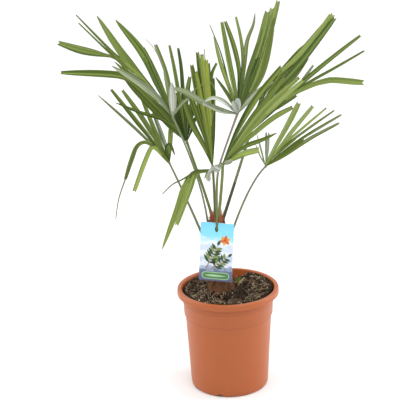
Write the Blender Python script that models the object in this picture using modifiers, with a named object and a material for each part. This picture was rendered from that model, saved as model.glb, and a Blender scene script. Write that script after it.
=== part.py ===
"""Potted Chinese windmill palm: a young fan palm in a terracotta-coloured plastic nursery pot.

Metres, +Z up. The origin is the centre of the pot's flat underside, and -Y is the front.
Each fan grows from a hub at the top of its stalk. A blade of the fan is measured as a botanist
would: its turn within the fan (degrees, clockwise from straight up as the fan's face is seen),
its lift out of the fan's plane (degrees, towards the face) and its length. A blade that bends
has one such measure for each leg.
"""

import math

import bmesh
import bpy
from mathutils import Matrix, Vector

# Clearances
GAP = 0.0003
STALK_GAP = 0.0004

# Pot
POT_HEIGHT = 0.215
RIM_RADIUS = 0.105
RIM_MOUTH_RADIUS = 0.0955
LIP_HEIGHT = 0.014
COLLAR_TOP_RADIUS = 0.0942
COLLAR_FOOT_RADIUS = 0.0925
COLLAR_FOOT = 0.159
STEP_FOOT = 0.155
BODY_TOP_RADIUS = 0.0888
BASE_RADIUS = 0.080
WALL = 0.0025
FLOOR = 0.005
RIM_TAPER = 0.0006
EDGE_ROUND = 0.0020
LIP_UNDERCUT = 0.0016
FILLET = 0.0014
BASE_ROUND = 0.0060
POT_STEPS = 64
NOTCHES = 8
NOTCH_SIZE = (0.024, 0.009, 0.008)
FIRST_NOTCH = math.radians(-106)

# Compost
COMPOST_TOP = 0.198
COMPOST_FLAT_RADIUS = 0.052
COMPOST_SHOULDER = (0.074, 0.196)
COMPOST_EDGE = 0.194

# Trunk
TRUNK_FOOT = COMPOST_TOP + GAP
TRUNK_TOP = 0.358
TRUNK_FOOT_X = -0.0124
TRUNK_TOP_X = -0.0195
TRUNK_SIDES = 20
TRUNK_RADII = (
    (0.00, 0.0360),
    (0.05, 0.0345),
    (0.16, 0.0310),
    (0.32, 0.0272),
    (0.55, 0.0240),
    (0.80, 0.0222),
    (0.94, 0.0216),
    (1.00, 0.0200),
)

# Stalks that rise from the flat top of the trunk: where each stands, the point that it curves
# towards, and its radius at foot and tip
CROWN_STALKS = {
    "left": ((-0.0355, -0.008), (-0.041, -0.022, 0.461), (0.0034, 0.0023)),
    "back_left": ((-0.0310, 0.010), (-0.044, 0.021, 0.418), (0.0032, 0.0022)),
    "centre": ((-0.0222, 0.003), (-0.023, 0.009, 0.420), (0.0030, 0.0022)),
    "front": ((-0.0142, -0.009), (-0.006, -0.041, 0.452), (0.0030, 0.0021)),
    "back_right": ((-0.0050, 0.004), (0.026, 0.036, 0.447), (0.0036, 0.0027)),
}
# Stalks that leave the side of the trunk: their azimuth round it in degrees and their height first
SIDE_STALKS = {
    "low_left": ((180, 0.310), (-0.086, 0.002, 0.426), (0.0026, 0.0017)),
    "right": ((-9, 0.322), (0.045, -0.053, 0.457), (0.0026, 0.0018)),
    "top": ((-93, 0.335), (-0.032, -0.101, 0.493), (0.0026, 0.0023)),
}
SIDE_SEAT = 0.0028
STALK_POINTS = 9
STALK_RISE = 0.004

# Fans
KNOB_RADIUS = 0.0036
DROOP_KNOB_RADIUS = 0.0022
THICKNESS_SHARE = 0.011
TIP_THINNING = 0.45
TIP_WIDTH = {"cut": 0.42, "point": 0.12}
BLADE_WIDTHS = ((0.0, 0.18), (0.16, 0.48), (0.34, 0.84), (0.56, 1.0), (0.80, 0.78))
DROOP_WIDTHS = ((0.0, 0.40), (0.10, 0.80), (0.34, 1.0), (0.56, 0.95), (0.80, 0.75))
ARCH = 0.006
CORNER_CUTS = 2

# Label card, hung on the stalk of the top fan through its slot
CARD_SIZE = (0.068, 0.0006, 0.1240)
CARD_FOOT = (-0.0262, -0.0362, 0.2424)
CARD_LEAN = math.radians(-3.0)
CARD_ROLL = math.radians(3.0)
CARD_TURN = math.radians(-10.0)
SLOT_SIZE = (0.0074, 0.0200)
SLOT_BELOW_TOP = 0.0180
SLOT_SHIFT = -0.0012

# Basal shoot
SHOOT_FOOT = (0.0227, 0.0165, COMPOST_TOP + GAP)
SHOOT_FACE = (-90, 0)
SHOOT_KNOB_RADIUS = 0.0012

COLOURS = {
    "pot": ((0.58, 0.18, 0.07), 0.45),
    "compost": ((0.035, 0.020, 0.012), 0.95),
    "trunk": ((0.13, 0.055, 0.025), 0.90),
    "stalk": ((0.11, 0.16, 0.05), 0.55),
    "fan": ((0.10, 0.20, 0.035), 0.50),
    "card": ((0.35, 0.65, 0.85), 0.30),
}


def blade(width_mm, tip, *legs):
    """One blade: its width, how it ends, and a (turn, lift, length in mm) for each leg."""
    return {"width": width_mm / 1000, "tip": tip, "legs": legs}


# A fan's droop hangs from the end of its first blade.
FANS = {
    "left": {
        "hub": (-0.101, -0.035, 0.590),
        "face": (-72, 14),
        "blades": [
            blade(15, "point", (-50, 32, 209)),
            blade(14, "cut", (-39, -4, 163), (-68, -12, 112)),
            blade(11, "point", (-39, 2, 274)),
            blade(13, "cut", (-30, -10, 246)),
            blade(15, "cut", (-14, -16, 120), (-26, -26, 111)),
            blade(8, "point", (-9, -26, 158)),
            blade(14, "cut", (9, -30, 85), (-6, -30, 84)),
            blade(15, "point", (-18, 52, 117)),
            blade(7, "point", (25, 30, 25), (59, 10, 20)),
            blade(11, "cut", (-17, -52, 200)),
            blade(11, "cut", (25, -60, 190)),
        ],
    },
    "back_left": {
        "hub": (-0.076, 0.045, 0.515),
        "face": (-106, 22),
        "blades": [
            blade(7, "point", (-57, 6, 85), (-73, 2, 89)),
            blade(15, "cut", (-47, 4, 182), (-89, 4, 143)),
            blade(14, "cut", (-49, -10, 235)),
            blade(8, "cut", (-15, 0, 204)),
            blade(7, "cut", (-10, 0, 195)),
            blade(11, "cut", (-5, -12, 142)),
            blade(11, "point", (-5, -25, 124)),
            blade(12, "cut", (-59, -50, 215)),
            blade(10, "cut", (-32, -60, 190)),
        ],
    },
    "low_left": {
        "hub": (-0.112, 0.012, 0.481),
        "face": (-100, 32),
        "blades": [
            blade(9, "cut", (-51, 6, 51)),
            blade(6, "point", (-48, 0, 214)),
            blade(9, "cut", (-41, 0, 201)),
            blade(10, "cut", (-36, -4, 191)),
            blade(9, "cut", (-27, -6, 166)),
            blade(9, "cut", (-21, -14, 133)),
            blade(8, "cut", (-5, -20, 116)),
            blade(8, "point", (-9, 0, 39), (140, 10, 30)),
            blade(9, "cut", (-40, -50, 190)),
        ],
        "droop": [
            blade(10, "point", (-82, 10, 25), (-164, 6, 80), (-171, 0, 81)),
            blade(9, "cut", (-167, 12, 105)),
        ],
    },
    "centre": {
        "hub": (-0.025, 0.020, 0.470),
        "face": (-90, 8),
        "blades": [
            blade(16, "cut", (-21, 0, 148)),
            blade(15, "cut", (-10, 0, 210)),
            blade(16, "cut", (-5, 0, 233)),
            blade(14, "cut", (-1, 0, 214)),
            blade(12, "cut", (3, 0, 211)),
            blade(10, "cut", (-8, -38, 175)),
            blade(10, "cut", (-3, -58, 165)),
        ],
    },
    "top": {
        "hub": (0.026, -0.012, 0.587),
        "face": (-92, 38),
        "blades": [
            blade(15, "point", (-78, 20, 48), (-72, 22, 92)),
            blade(10, "point", (-59, 28, 52), (-125, 40, 40)),
            blade(7, "point", (-29, 0, 91)),
            blade(8, "point", (-17, 0, 77), (-14, 0, 125)),
            blade(10, "cut", (-8, 0, 204)),
            blade(11, "cut", (1, -6, 118), (-14, -6, 101)),
            blade(9, "cut", (6, -10, 124), (-7, -10, 114)),
            blade(10, "point", (7, 0, 112), (13, 0, 110)),
            blade(16, "cut", (16, 0, 120), (17, 0, 112)),
            blade(16, "cut", (18, -4, 267)),
            blade(16, "cut", (26, -6, 136), (12, -6, 151)),
            blade(11, "point", (54, 40, 44), (67, 40, 63)),
            blade(15, "point", (-5, 50, 38)),
            blade(12, "cut", (15, -34, 210)),
            blade(9, "cut", (-3, -45, 155)),
        ],
    },
    "front": {
        "hub": (-0.006, -0.070, 0.503),
        "face": (-96, 8),
        "blades": [
            blade(11, "cut", (-99, 30, 33), (-108, 20, 34)),
            blade(11, "cut", (27, 0, 117), (36, -4, 106)),
            blade(12, "cut", (36, -6, 210)),
            blade(13, "cut", (41, 0, 224)),
            blade(13, "cut", (42, 6, 233)),
            blade(13, "cut", (51, 0, 177)),
            blade(11, "point", (59, 4, 123)),
            blade(13, "cut", (65, 10, 80)),
            blade(7, "point", (-100, 40, 24), (-146, 20, 28)),
            blade(12, "cut", (39, 38, 148)),
        ],
        "droop": [
            blade(12, "point", (-131, 20, 13), (-161, 6, 147)),
            blade(12, "cut", (175, 10, 22), (-158, 4, 89)),
            blade(5, "point", (-119, 10, 27), (-127, 20, 47)),
        ],
    },
    "back_right": {
        "hub": (0.061, 0.060, 0.551),
        "face": (-74, 26),
        "blades": [
            blade(14, "cut", (37, 0, 153), (50, 0, 129)),
            blade(14, "cut", (44, 2, 284)),
            blade(14, "cut", (48, 4, 177), (42, 4, 101)),
            blade(10, "cut", (59, 0, 302)),
            blade(8, "cut", (65, 4, 282)),
            blade(9, "cut", (56, -14, 205)),
            blade(13, "cut", (68, 8, 153), (98, 14, 98)),
            blade(12, "cut", (48, -40, 225)),
            blade(10, "cut", (48, -58, 185)),
        ],
    },
    "right": {
        "hub": (0.077, -0.085, 0.500),
        "face": (-108, 12),
        "blades": [
            blade(8, "cut", (-14, -45, 90)),
            blade(6, "point", (-38, -50, 109)),
            blade(6, "point", (-48, -50, 85)),
            blade(11, "cut", (26, 0, 145)),
            blade(9, "cut", (36, 0, 154)),
            blade(7, "cut", (43, 0, 169)),
            blade(8, "cut", (48, 0, 177)),
            blade(9, "cut", (53, 0, 184)),
            blade(10, "cut", (57, 6, 175)),
            blade(9, "cut", (52, -46, 90)),
        ],
    },
}
SHOOT_BLADES = [
    blade(4, "point", (-8, 0, 28)),
    blade(3, "point", (14, 10, 26)),
    blade(3, "point", (34, 0, 21)),
    blade(3, "point", (-12, -38, 22)),
]


def clear_scene():
    for old in list(bpy.data.objects):
        bpy.data.objects.remove(old)


def collection(name):
    made = bpy.data.collections.new(name)
    bpy.context.scene.collection.children.link(made)
    return made


def paint(made, kind):
    """Gives an object its own material, in its kind's colour and roughness."""
    colour, roughness = COLOURS[kind]
    material = bpy.data.materials.new(made.name)
    material.use_nodes = True
    shader = material.node_tree.nodes["Principled BSDF"]
    shader.inputs["Base Color"].default_value = (*colour, 1)
    shader.inputs["Roughness"].default_value = roughness
    made.data.materials.clear()
    made.data.materials.append(material)


def mesh_object(name, points, faces, home):
    mesh = bpy.data.meshes.new(name)
    mesh.from_pydata(points, [], faces)
    made = bpy.data.objects.new(name, mesh)
    home.objects.link(made)
    return made


def turned(name, profile, home):
    """A round solid from a profile at +X that runs down its outer side."""
    edges = [(i, i + 1) for i in range(len(profile) - 1)]
    mesh = bpy.data.meshes.new(name)
    mesh.from_pydata([(radius, 0, z) for radius, z in profile], edges, [])
    made = bpy.data.objects.new(name, mesh)
    home.objects.link(made)
    screw = made.modifiers.new("Turn", "SCREW")
    screw.steps = screw.render_steps = POT_STEPS
    screw.use_merge_vertices = True
    screw.merge_threshold = 0.00001
    screw.use_smooth_shade = True
    return made


def inner_wall():
    """The pot's inner side, from the floor to the rim, as (radius, height) points."""
    return [
        (BASE_RADIUS - WALL, FLOOR),
        (BODY_TOP_RADIUS - WALL, STEP_FOOT),
        (COLLAR_FOOT_RADIUS - WALL, COLLAR_FOOT),
        (COLLAR_TOP_RADIUS - WALL, POT_HEIGHT - LIP_HEIGHT),
        (RIM_MOUTH_RADIUS, POT_HEIGHT - EDGE_ROUND),
    ]


def make_pot(home, cutters):
    lip_foot = POT_HEIGHT - LIP_HEIGHT
    outer_side = [
        (RIM_MOUTH_RADIUS + EDGE_ROUND, POT_HEIGHT),
        (RIM_RADIUS - RIM_TAPER - EDGE_ROUND, POT_HEIGHT),
        (RIM_RADIUS - RIM_TAPER, POT_HEIGHT - EDGE_ROUND),
        (RIM_RADIUS, lip_foot + EDGE_ROUND),
        (RIM_RADIUS - LIP_UNDERCUT, lip_foot),
        (COLLAR_TOP_RADIUS + FILLET, lip_foot),
        (COLLAR_TOP_RADIUS, lip_foot - FILLET),
        (COLLAR_FOOT_RADIUS, COLLAR_FOOT),
        (BODY_TOP_RADIUS, STEP_FOOT),
        (BASE_RADIUS, BASE_ROUND),
        (BASE_RADIUS - BASE_ROUND / 5, BASE_ROUND / 4),
        (BASE_RADIUS - BASE_ROUND * 3 / 5, 0.0),
        (0.0, 0.0),
    ]
    pot = turned("pot", [(0.0, FLOOR)] + inner_wall() + outer_side, home)
    paint(pot, "pot")
    for i in range(NOTCHES):
        angle = FIRST_NOTCH + i * math.tau / NOTCHES
        bpy.ops.mesh.primitive_cube_add(size=1)
        notch = bpy.context.object
        notch.name = f"notch_{i}"
        reach = Vector((math.cos(angle), math.sin(angle), 0)) * BASE_RADIUS
        turn = Matrix.Rotation(angle, 4, "Z")
        notch.matrix_world = Matrix.Translation(reach) @ turn @ Matrix.Diagonal((*NOTCH_SIZE, 1))
        for owner in list(notch.users_collection):
            owner.objects.unlink(notch)
        cutters.objects.link(notch)
        notch.hide_render = True
        notch.display_type = "WIRE"
    cut = pot.modifiers.new("Drain notches", "BOOLEAN")
    cut.operation = "DIFFERENCE"
    cut.solver = "EXACT"
    cut.operand_type = "COLLECTION"
    cut.collection = cutters


def make_compost(home):
    """Fills the pot to a little under the collar of the rim, flat where the trunk stands."""
    side = [(radius - GAP, z) for radius, z in inner_wall()[:3]]
    collar_slope = (COLLAR_TOP_RADIUS - COLLAR_FOOT_RADIUS) / (POT_HEIGHT - LIP_HEIGHT - COLLAR_FOOT)
    edge_radius = COLLAR_FOOT_RADIUS - WALL - GAP + collar_slope * (COMPOST_EDGE - COLLAR_FOOT)
    side[0] = (side[0][0], FLOOR + GAP)
    top = [(0.0, COMPOST_TOP), (COMPOST_FLAT_RADIUS, COMPOST_TOP), COMPOST_SHOULDER]
    profile = top + [(edge_radius, COMPOST_EDGE)] + side[::-1] + [(0.0, FLOOR + GAP)]
    compost = turned("compost", profile, home)
    paint(compost, "compost")


def trunk_centre(share):
    """The trunk's axis leans a little to the left from foot (0) to top (1)."""
    x = TRUNK_FOOT_X + (TRUNK_TOP_X - TRUNK_FOOT_X) * share
    return Vector((x, 0, TRUNK_FOOT + (TRUNK_TOP - TRUNK_FOOT) * share))


def make_trunk(home):
    points, faces = [], []
    for share, radius in TRUNK_RADII:
        centre = trunk_centre(share)
        for i in range(TRUNK_SIDES):
            angle = i * math.tau / TRUNK_SIDES
            points.append(centre + Vector((math.cos(angle), math.sin(angle), 0)) * radius)
    for ring in range(len(TRUNK_RADII) - 1):
        for i in range(TRUNK_SIDES):
            low, high = ring * TRUNK_SIDES, (ring + 1) * TRUNK_SIDES
            after = (i + 1) % TRUNK_SIDES
            faces.append((low + i, low + after, high + after, high + i))
    faces.append(tuple(range(TRUNK_SIDES))[::-1])
    faces.append(tuple(range(len(points) - TRUNK_SIDES, len(points))))
    trunk = mesh_object("trunk", points, faces, home)
    trunk.data.shade_smooth()
    trunk.data.set_sharp_from_angle(angle=math.radians(40))
    paint(trunk, "trunk")


def crown_foot(x, y):
    """A foot on the flat top of the trunk leaves it straight up, so that its end lies flat on it."""
    foot = Vector((x, y, TRUNK_TOP + STALK_GAP))
    return [foot, foot + Vector((0, 0, STALK_RISE))]


def side_foot(azimuth, height):
    """A foot beside the trunk, as far from its bark as the stalk's own radius and a small gap."""
    share = (height - TRUNK_FOOT) / (TRUNK_TOP - TRUNK_FOOT)
    for (low, low_radius), (high, high_radius) in zip(TRUNK_RADII, TRUNK_RADII[1:]):
        if low <= share <= high:
            trunk_radius = low_radius + (high_radius - low_radius) * (share - low) / (high - low)
    azimuth = math.radians(azimuth)
    outward = Vector((math.cos(azimuth), math.sin(azimuth), 0))
    return [trunk_centre(share) + outward * (trunk_radius + SIDE_SEAT)]


def make_stalk(name, lead, towards, radii, hub, home):
    """A tapering stalk: its lead off the trunk, and then one curve to just short of its fan's hub."""
    towards, hub = Vector(towards), Vector(hub)
    foot_radius, tip_radius = radii
    arrival = (hub - towards).normalized()
    end = hub - arrival * (KNOB_RADIUS + STALK_GAP)
    route = lead[:-1]
    for i in range(STALK_POINTS):
        t = i / (STALK_POINTS - 1)
        route.append(lead[-1] * (1 - t) ** 2 + towards * 2 * t * (1 - t) + end * t ** 2)
    curve = bpy.data.curves.new(f"stalk_{name}", "CURVE")
    curve.dimensions = "3D"
    curve.bevel_depth = 1.0
    curve.bevel_resolution = 2
    curve.use_fill_caps = True
    spline = curve.splines.new("POLY")
    spline.points.add(len(route) - 1)
    for i, (point, place) in enumerate(zip(spline.points, route)):
        share = i / (len(route) - 1)
        point.co = (*place, 1)
        point.radius = foot_radius + (tip_radius - foot_radius) * share
    made = bpy.data.objects.new(f"stalk_{name}", curve)
    home.objects.link(made)
    paint(made, "stalk")


def fan_axes(face):
    """The fan's own right, up and face directions, from its face's azimuth and elevation."""
    azimuth, elevation = (math.radians(angle) for angle in face)
    facing = Vector((math.cos(azimuth), math.sin(azimuth), 0)) * math.cos(elevation)
    facing.z = math.sin(elevation)
    up = (Vector((0, 0, 1)) - facing * facing.z).normalized()
    return up.cross(facing), up, facing


def heading(axes, turn, lift):
    right, up, facing = axes
    turn, lift = math.radians(turn), math.radians(lift)
    return (right * math.sin(turn) + up * math.cos(turn)) * math.cos(lift) + facing * math.sin(lift)


def blade_route(start, axes, legs):
    """The blade's midline: its legs with their corners cut to a curve, and a slight arch."""
    corners = [start.copy()]
    for turn, lift, length in legs:
        corners.append(corners[-1] + heading(axes, turn, lift) * length / 1000)
    for _ in range(CORNER_CUTS):
        cut = [corners[0]]
        for a, b in zip(corners, corners[1:]):
            cut += [a.lerp(b, 0.25), a.lerp(b, 0.75)]
        corners = cut + [corners[-1]]
    total = route_length(corners)
    walked, route = 0.0, [corners[0]]
    for a, b in zip(corners, corners[1:]):
        walked += (b - a).length
        share = walked / total
        route.append(b + Vector((0, 0, 1)) * ARCH * total * 4 * share * (1 - share))
    return route


def route_length(route):
    return sum((b - a).length for a, b in zip(route, route[1:]))


def along(route, share):
    """The place and heading at a share of the route's length."""
    left = share * route_length(route)
    for a, b in zip(route, route[1:]):
        step = (b - a).length
        if left <= step or b is route[-1]:
            return a.lerp(b, left / step), (b - a).normalized()
        left -= step


def make_blade(name, start, axes, measures, widths, home):
    """A thin blade with a ridge on each side: a loft of flat diamonds along its midline."""
    route = blade_route(start, axes, measures["legs"])
    length = route_length(route)
    points, faces = [], []
    for share, width in widths + ((1.0, TIP_WIDTH[measures["tip"]]),):
        centre, forward = along(route, share)
        side = forward.cross(axes[2]).normalized()
        ridge = side.cross(forward)
        half = side * measures["width"] / 2 * width
        thick = ridge * length * THICKNESS_SHARE / 2 * (1 - TIP_THINNING * share)
        points += [centre - half, centre + thick, centre + half, centre - thick]
    for ring in range(0, len(points) - 4, 4):
        for i in range(4):
            after = (i + 1) % 4
            faces.append((ring + i, ring + 4 + i, ring + 4 + after, ring + after))
    faces.append((0, 1, 2, 3))
    faces.append(tuple(range(len(points) - 4, len(points)))[::-1])
    made = mesh_object(name, points, faces, home)
    work = bmesh.new()
    work.from_mesh(made.data)
    bmesh.ops.triangulate(work, faces=work.faces)
    bmesh.ops.recalc_face_normals(work, faces=work.faces)
    work.to_mesh(made.data)
    work.free()
    return made


def make_fan(name, hub, axes, blades, knob_radius, home, widths=BLADE_WIDTHS):
    """Fuses a fan's blades and the knob that they spring from into one solid."""
    work = bmesh.new()
    bmesh.ops.create_icosphere(work, subdivisions=2, radius=knob_radius)
    bmesh.ops.translate(work, verts=work.verts, vec=hub)
    mesh = bpy.data.meshes.new(name)
    work.to_mesh(mesh)
    work.free()
    fan = bpy.data.objects.new(name, mesh)
    home.objects.link(fan)
    loose = collection(f"{name}_blades")
    for i, measures in enumerate(blades):
        make_blade(f"{name}_blade_{i}", hub, axes, measures, widths, loose)
    fuse = fan.modifiers.new("Fuse", "BOOLEAN")
    fuse.operation = "UNION"
    fuse.solver = "EXACT"
    fuse.operand_type = "COLLECTION"
    fuse.collection = loose
    fused = bpy.data.meshes.new_from_object(fan.evaluated_get(bpy.context.evaluated_depsgraph_get()))
    fan.modifiers.clear()
    fan.data = fused
    for piece in list(loose.objects):
        bpy.data.objects.remove(piece)
    bpy.data.collections.remove(loose)
    paint(fan, "fan")


def make_card(home, cutters):
    width, thick, height = CARD_SIZE
    place = Matrix.Translation(CARD_FOOT) @ Matrix.Rotation(CARD_TURN, 4, "Z")
    place = place @ Matrix.Rotation(CARD_LEAN, 4, "X") @ Matrix.Rotation(CARD_ROLL, 4, "Y")
    bpy.ops.mesh.primitive_cube_add(size=1)
    card = bpy.context.object
    card.name = card.data.name = "label_card"
    card.data.transform(Matrix.Translation((0, 0, height / 2)) @ Matrix.Diagonal((*CARD_SIZE, 1)))
    card.matrix_world = place
    bpy.ops.mesh.primitive_cylinder_add(vertices=24, radius=0.5, depth=1)
    slot = bpy.context.object
    slot.name = "card_slot"
    slot_width, slot_height = SLOT_SIZE
    middle = Matrix.Translation((SLOT_SHIFT, 0, height - SLOT_BELOW_TOP)) @ Matrix.Rotation(math.pi / 2, 4, "X")
    slot.matrix_world = place @ middle @ Matrix.Diagonal((slot_width, slot_height, 20 * thick, 1))
    for made, owner in ((card, home), (slot, cutters)):
        for old in list(made.users_collection):
            old.objects.unlink(made)
        owner.objects.link(made)
    slot.hide_render = True
    slot.display_type = "WIRE"
    cut = card.modifiers.new("Slot", "BOOLEAN")
    cut.operation = "DIFFERENCE"
    cut.solver = "EXACT"
    cut.object = slot
    paint(card, "card")


def main():
    clear_scene()
    home = collection("potted_windmill_palm")
    cutters = collection("pot_cutters")
    card_cutters = collection("card_cutters")
    make_pot(home, cutters)
    make_compost(home)
    make_trunk(home)
    for name, (place, towards, radii) in CROWN_STALKS.items():
        make_stalk(name, crown_foot(*place), towards, radii, FANS[name]["hub"], home)
    for name, (place, towards, radii) in SIDE_STALKS.items():
        make_stalk(name, side_foot(*place), towards, radii, FANS[name]["hub"], home)
    for name, fan in FANS.items():
        hub, axes = Vector(fan["hub"]), fan_axes(fan["face"])
        make_fan(f"fan_{name}", hub, axes, fan["blades"], KNOB_RADIUS, home)
        if "droop" in fan:
            carrier = blade_route(hub, axes, fan["blades"][0]["legs"])
            end, forward = along(carrier, 1.0)
            bend = end + forward * (DROOP_KNOB_RADIUS + STALK_GAP)
            make_fan(f"fan_{name}_droop", bend, axes, fan["droop"], DROOP_KNOB_RADIUS, home, DROOP_WIDTHS)
    foot = Vector(SHOOT_FOOT) + Vector((0, 0, SHOOT_KNOB_RADIUS))
    make_fan("basal_shoot", foot, fan_axes(SHOOT_FACE), SHOOT_BLADES, SHOOT_KNOB_RADIUS, home)
    make_card(home, card_cutters)


main()
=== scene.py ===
"""Looks of the potted windmill palm: finer foliage, bark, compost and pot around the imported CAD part.

Metres, +Z up, in the frame's own place. The fans follow the measures of the part's source: a blade
has its turn within the fan, its lift out of the fan's plane and its length, once for each leg.
"""

import math
import random

import bpy
import numpy as np
from mathutils import Matrix, Vector, noise


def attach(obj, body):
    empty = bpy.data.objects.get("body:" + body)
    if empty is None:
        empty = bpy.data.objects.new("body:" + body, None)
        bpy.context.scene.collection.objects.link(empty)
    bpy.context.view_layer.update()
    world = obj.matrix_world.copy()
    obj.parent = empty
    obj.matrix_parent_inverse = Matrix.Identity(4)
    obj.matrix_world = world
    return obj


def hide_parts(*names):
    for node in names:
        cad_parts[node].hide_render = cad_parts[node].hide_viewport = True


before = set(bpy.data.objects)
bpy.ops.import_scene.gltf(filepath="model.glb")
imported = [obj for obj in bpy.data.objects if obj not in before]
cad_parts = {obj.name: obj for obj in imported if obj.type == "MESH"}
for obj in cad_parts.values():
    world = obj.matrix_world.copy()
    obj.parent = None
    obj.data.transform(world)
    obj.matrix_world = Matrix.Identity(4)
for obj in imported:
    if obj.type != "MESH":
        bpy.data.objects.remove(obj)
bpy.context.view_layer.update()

# Pot
POT_HEIGHT = 0.215
RIM_RADIUS = 0.105
RIM_MOUTH_RADIUS = 0.0955
LIP_FOOT = 0.2022
COLLAR_TOP_RADIUS = 0.0940
COLLAR_FOOT_RADIUS = 0.0917
COLLAR_FOOT = 0.159
STEP_FOOT = 0.1525
GROOVE_DEPTH = 0.0019
BODY_TOP_RADIUS = 0.0888
BASE_RADIUS = 0.080
WALL = 0.0025
FLOOR = 0.005
POT_STEPS = 192
NOTCHES = 8
FIRST_NOTCH = math.radians(-106)
NOTCH_WIDTH = 0.013
NOTCH_HEIGHT = 0.0060
# Radii of the rim's rounded edges and of the lip's foot, and the heights of the mould rings
ROUND_IN = 0.0022
ROUND_OUT = 0.0032
ROUND_LIP = 0.0016
MOULD_RINGS = (0.194, 0.187)

# Compost: heaped against the wall, but for a dip at the back, and against the trunk's foot
COMPOST_TOP = 0.2005
COMPOST_RADIUS = 0.0912
HEAP_FROM = 0.045
WALL_HEAP = 0.0112
RIGHT_HEAP = 0.0034
RIGHT_HEAP_AT = math.radians(22)
BACK_DIP = 0.0070
DIP_AT = math.radians(86)
DIP_SPREAD = math.radians(25)
FOOT_HEAP = 0.0122
FOOT_HEAP_REACH = 0.048
FOOT_HEAP_SLOPE = 0.014

# What lies on the compost, and where it lies dark and bare or pale with roots
CRUMB_COUNT = 4200
CRUMBS = ("crumb_dark",) * 14 + ("crumb_brown",) * 6 + ("crumb_tan",) * 2 + ("crumb_pale",)
ROOT_COUNT = 1150
ROOTS = ("root_pale",) * 2 + ("root_tan",) * 4 + ("root_rust",) * 4 + ("crumb_dark",) * 6
ROOT_POINTS = 9
DARK_PATCHES = (Vector((-0.006, -0.050, COMPOST_TOP)), Vector((0.046, 0.048, COMPOST_TOP)))
PALE_PATCH = Vector((-0.066, 0.000, COMPOST_TOP))
PATCH_REACH = 0.036

# Trunk
TRUNK_FOOT = 0.1983
TRUNK_TOP = 0.358
TRUNK_FOOT_X = -0.0124
TRUNK_TOP_X = -0.0195
TRUNK_RADII = (
    (0.00, 0.0360),
    (0.05, 0.0345),
    (0.16, 0.0310),
    (0.32, 0.0272),
    (0.55, 0.0240),
    (0.80, 0.0222),
    (0.94, 0.0216),
    (1.00, 0.0200),
)

# How many old leaf bases it has, and how many fibres: wound round it, at its crown, at its foot
LEAF_BASES = 10
WOUND_FIBRES = 420
CROWN_FIBRES = 230
FOOT_FIBRES = 90
# Where the torn leaf sheaths at the crown stand tallest, and the span that they stand in
SHEATH_TIPS = (-0.0278, -0.0120)
CROWN_EDGES = (-0.0335, -0.0075)

# Stalks: foot, the point that each curves towards, and its radius at foot and tip. A crown stalk's
# foot is (x, y), and a side stalk's is (azimuth, height) on the trunk.
CROWN_STALKS = {
    "left": ((-0.0385, -0.008), (-0.0487, -0.022, 0.461), (0.0021, 0.0017)),
    "back_left": ((-0.0280, 0.010), (-0.0425, 0.021, 0.418), (0.0030, 0.0022)),
    "centre": ((-0.0222, 0.003), (-0.023, 0.009, 0.420), (0.0030, 0.0022)),
    "front": ((-0.0168, -0.009), (-0.0075, -0.041, 0.452), (0.0030, 0.0027)),
    "back_right": ((-0.0065, 0.004), (0.026, 0.036, 0.447), (0.0033, 0.0023)),
}
SIDE_STALKS = {
    "low_left": ((180, 0.310), (-0.086, 0.002, 0.426), (0.0026, 0.0017)),
    "right": ((-9, 0.322), (0.0440, -0.053, 0.457), (0.0022, 0.0017)),
    "top": ((-93, 0.341), (-0.0196, -0.085, 0.4914), (0.0022, 0.0019)),
}
# How sharply a stalk bends at the point that it curves towards, where that isn't 1
STALK_BENDS = {"top": 5.0}
STALK_POINTS = 24
STALK_SIDES = 12
CROWN_SINK = 0.014
CROWN_LEAD = 0.018
SIDE_SEAT = 0.0020
# Each stalk's tone in its lower and in its upper half; stalk_shade, on the back right stalk's lower half, is
# painted shade
STALK_TONES = {
    "left": ("stalk_ash", "stalk_moss"),
    "back_left": ("stalk_green", "stalk_green"),
    "centre": ("stalk_olive", "stalk_olive"),
    "front": ("stalk_yellow", "stalk_yellow"),
    "back_right": ("stalk_shade", "stalk_moss"),
    "low_left": ("stalk_moss", "stalk_moss"),
    "right": ("stalk_moss", "stalk_ash"),
    "top": ("stalk_green", "stalk_grey"),
}

# Blades: their stations along the length, their edges and ribs across, and their outlines,
# each as (share of the length, share of the half width)
ARCH = 0.002
STATIONS = 20
FINE_ENDS = (0.955, 0.98, 1.0)
ACROSS = (-1.0, -0.80, -0.46, -0.12, 0.0, 0.12, 0.46, 0.80, 1.0)
THICKNESS = 0.0005
KEEL = 0.0005
LEAF_SHAPES = {
    "point": ((0.0, 0.18), (0.16, 0.50), (0.34, 0.86), (0.56, 1.0), (0.80, 0.76), (0.94, 0.42), (1.0, 0.10)),
    "cut": ((0.0, 0.18), (0.16, 0.48), (0.34, 0.84), (0.56, 1.0), (0.80, 0.86), (0.94, 0.70), (1.0, 0.52)),
    "strap": ((0.0, 0.45), (0.14, 0.80), (0.32, 1.0), (0.70, 1.0), (0.93, 0.90), (1.0, 0.70)),
    "taper": ((0.0, 0.45), (0.14, 0.80), (0.32, 1.0), (0.62, 1.0), (0.80, 0.90), (0.93, 0.70), (1.0, 0.42)),
    "paddle": ((0.0, 0.18), (0.22, 0.62), (0.42, 0.74), (0.57, 0.26), (0.64, 0.36), (0.74, 0.86), (0.83, 1.0),
               (0.92, 0.80), (1.0, 0.50)),
    "whip": ((0.0, 0.20), (0.18, 0.60), (0.38, 1.0), (0.52, 0.76), (0.64, 0.46), (0.80, 0.36), (1.0, 0.16)),
    "wedge": ((0.0, 0.35), (0.30, 0.80), (0.60, 1.0), (0.82, 0.86), (1.0, 0.35)),
    "strand": ((0.0, 0.70), (0.50, 1.0), (1.0, 0.45)),
}
SPLIT_TIPS = ("cut", "strap", "paddle")
CRISP_SHAPES = ("strap", "taper")
CRISP_EASE = 0.45
# Up to this share of its length a pleated blade fills the angle to its neighbours
JOINED_TO = 0.50
# How much broader each blade is than its row says
BROADER = 1.06
FAN_FOLD = 24
SHOOT_FOLD = 20
KNOB_RADIUS = 0.0030

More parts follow.
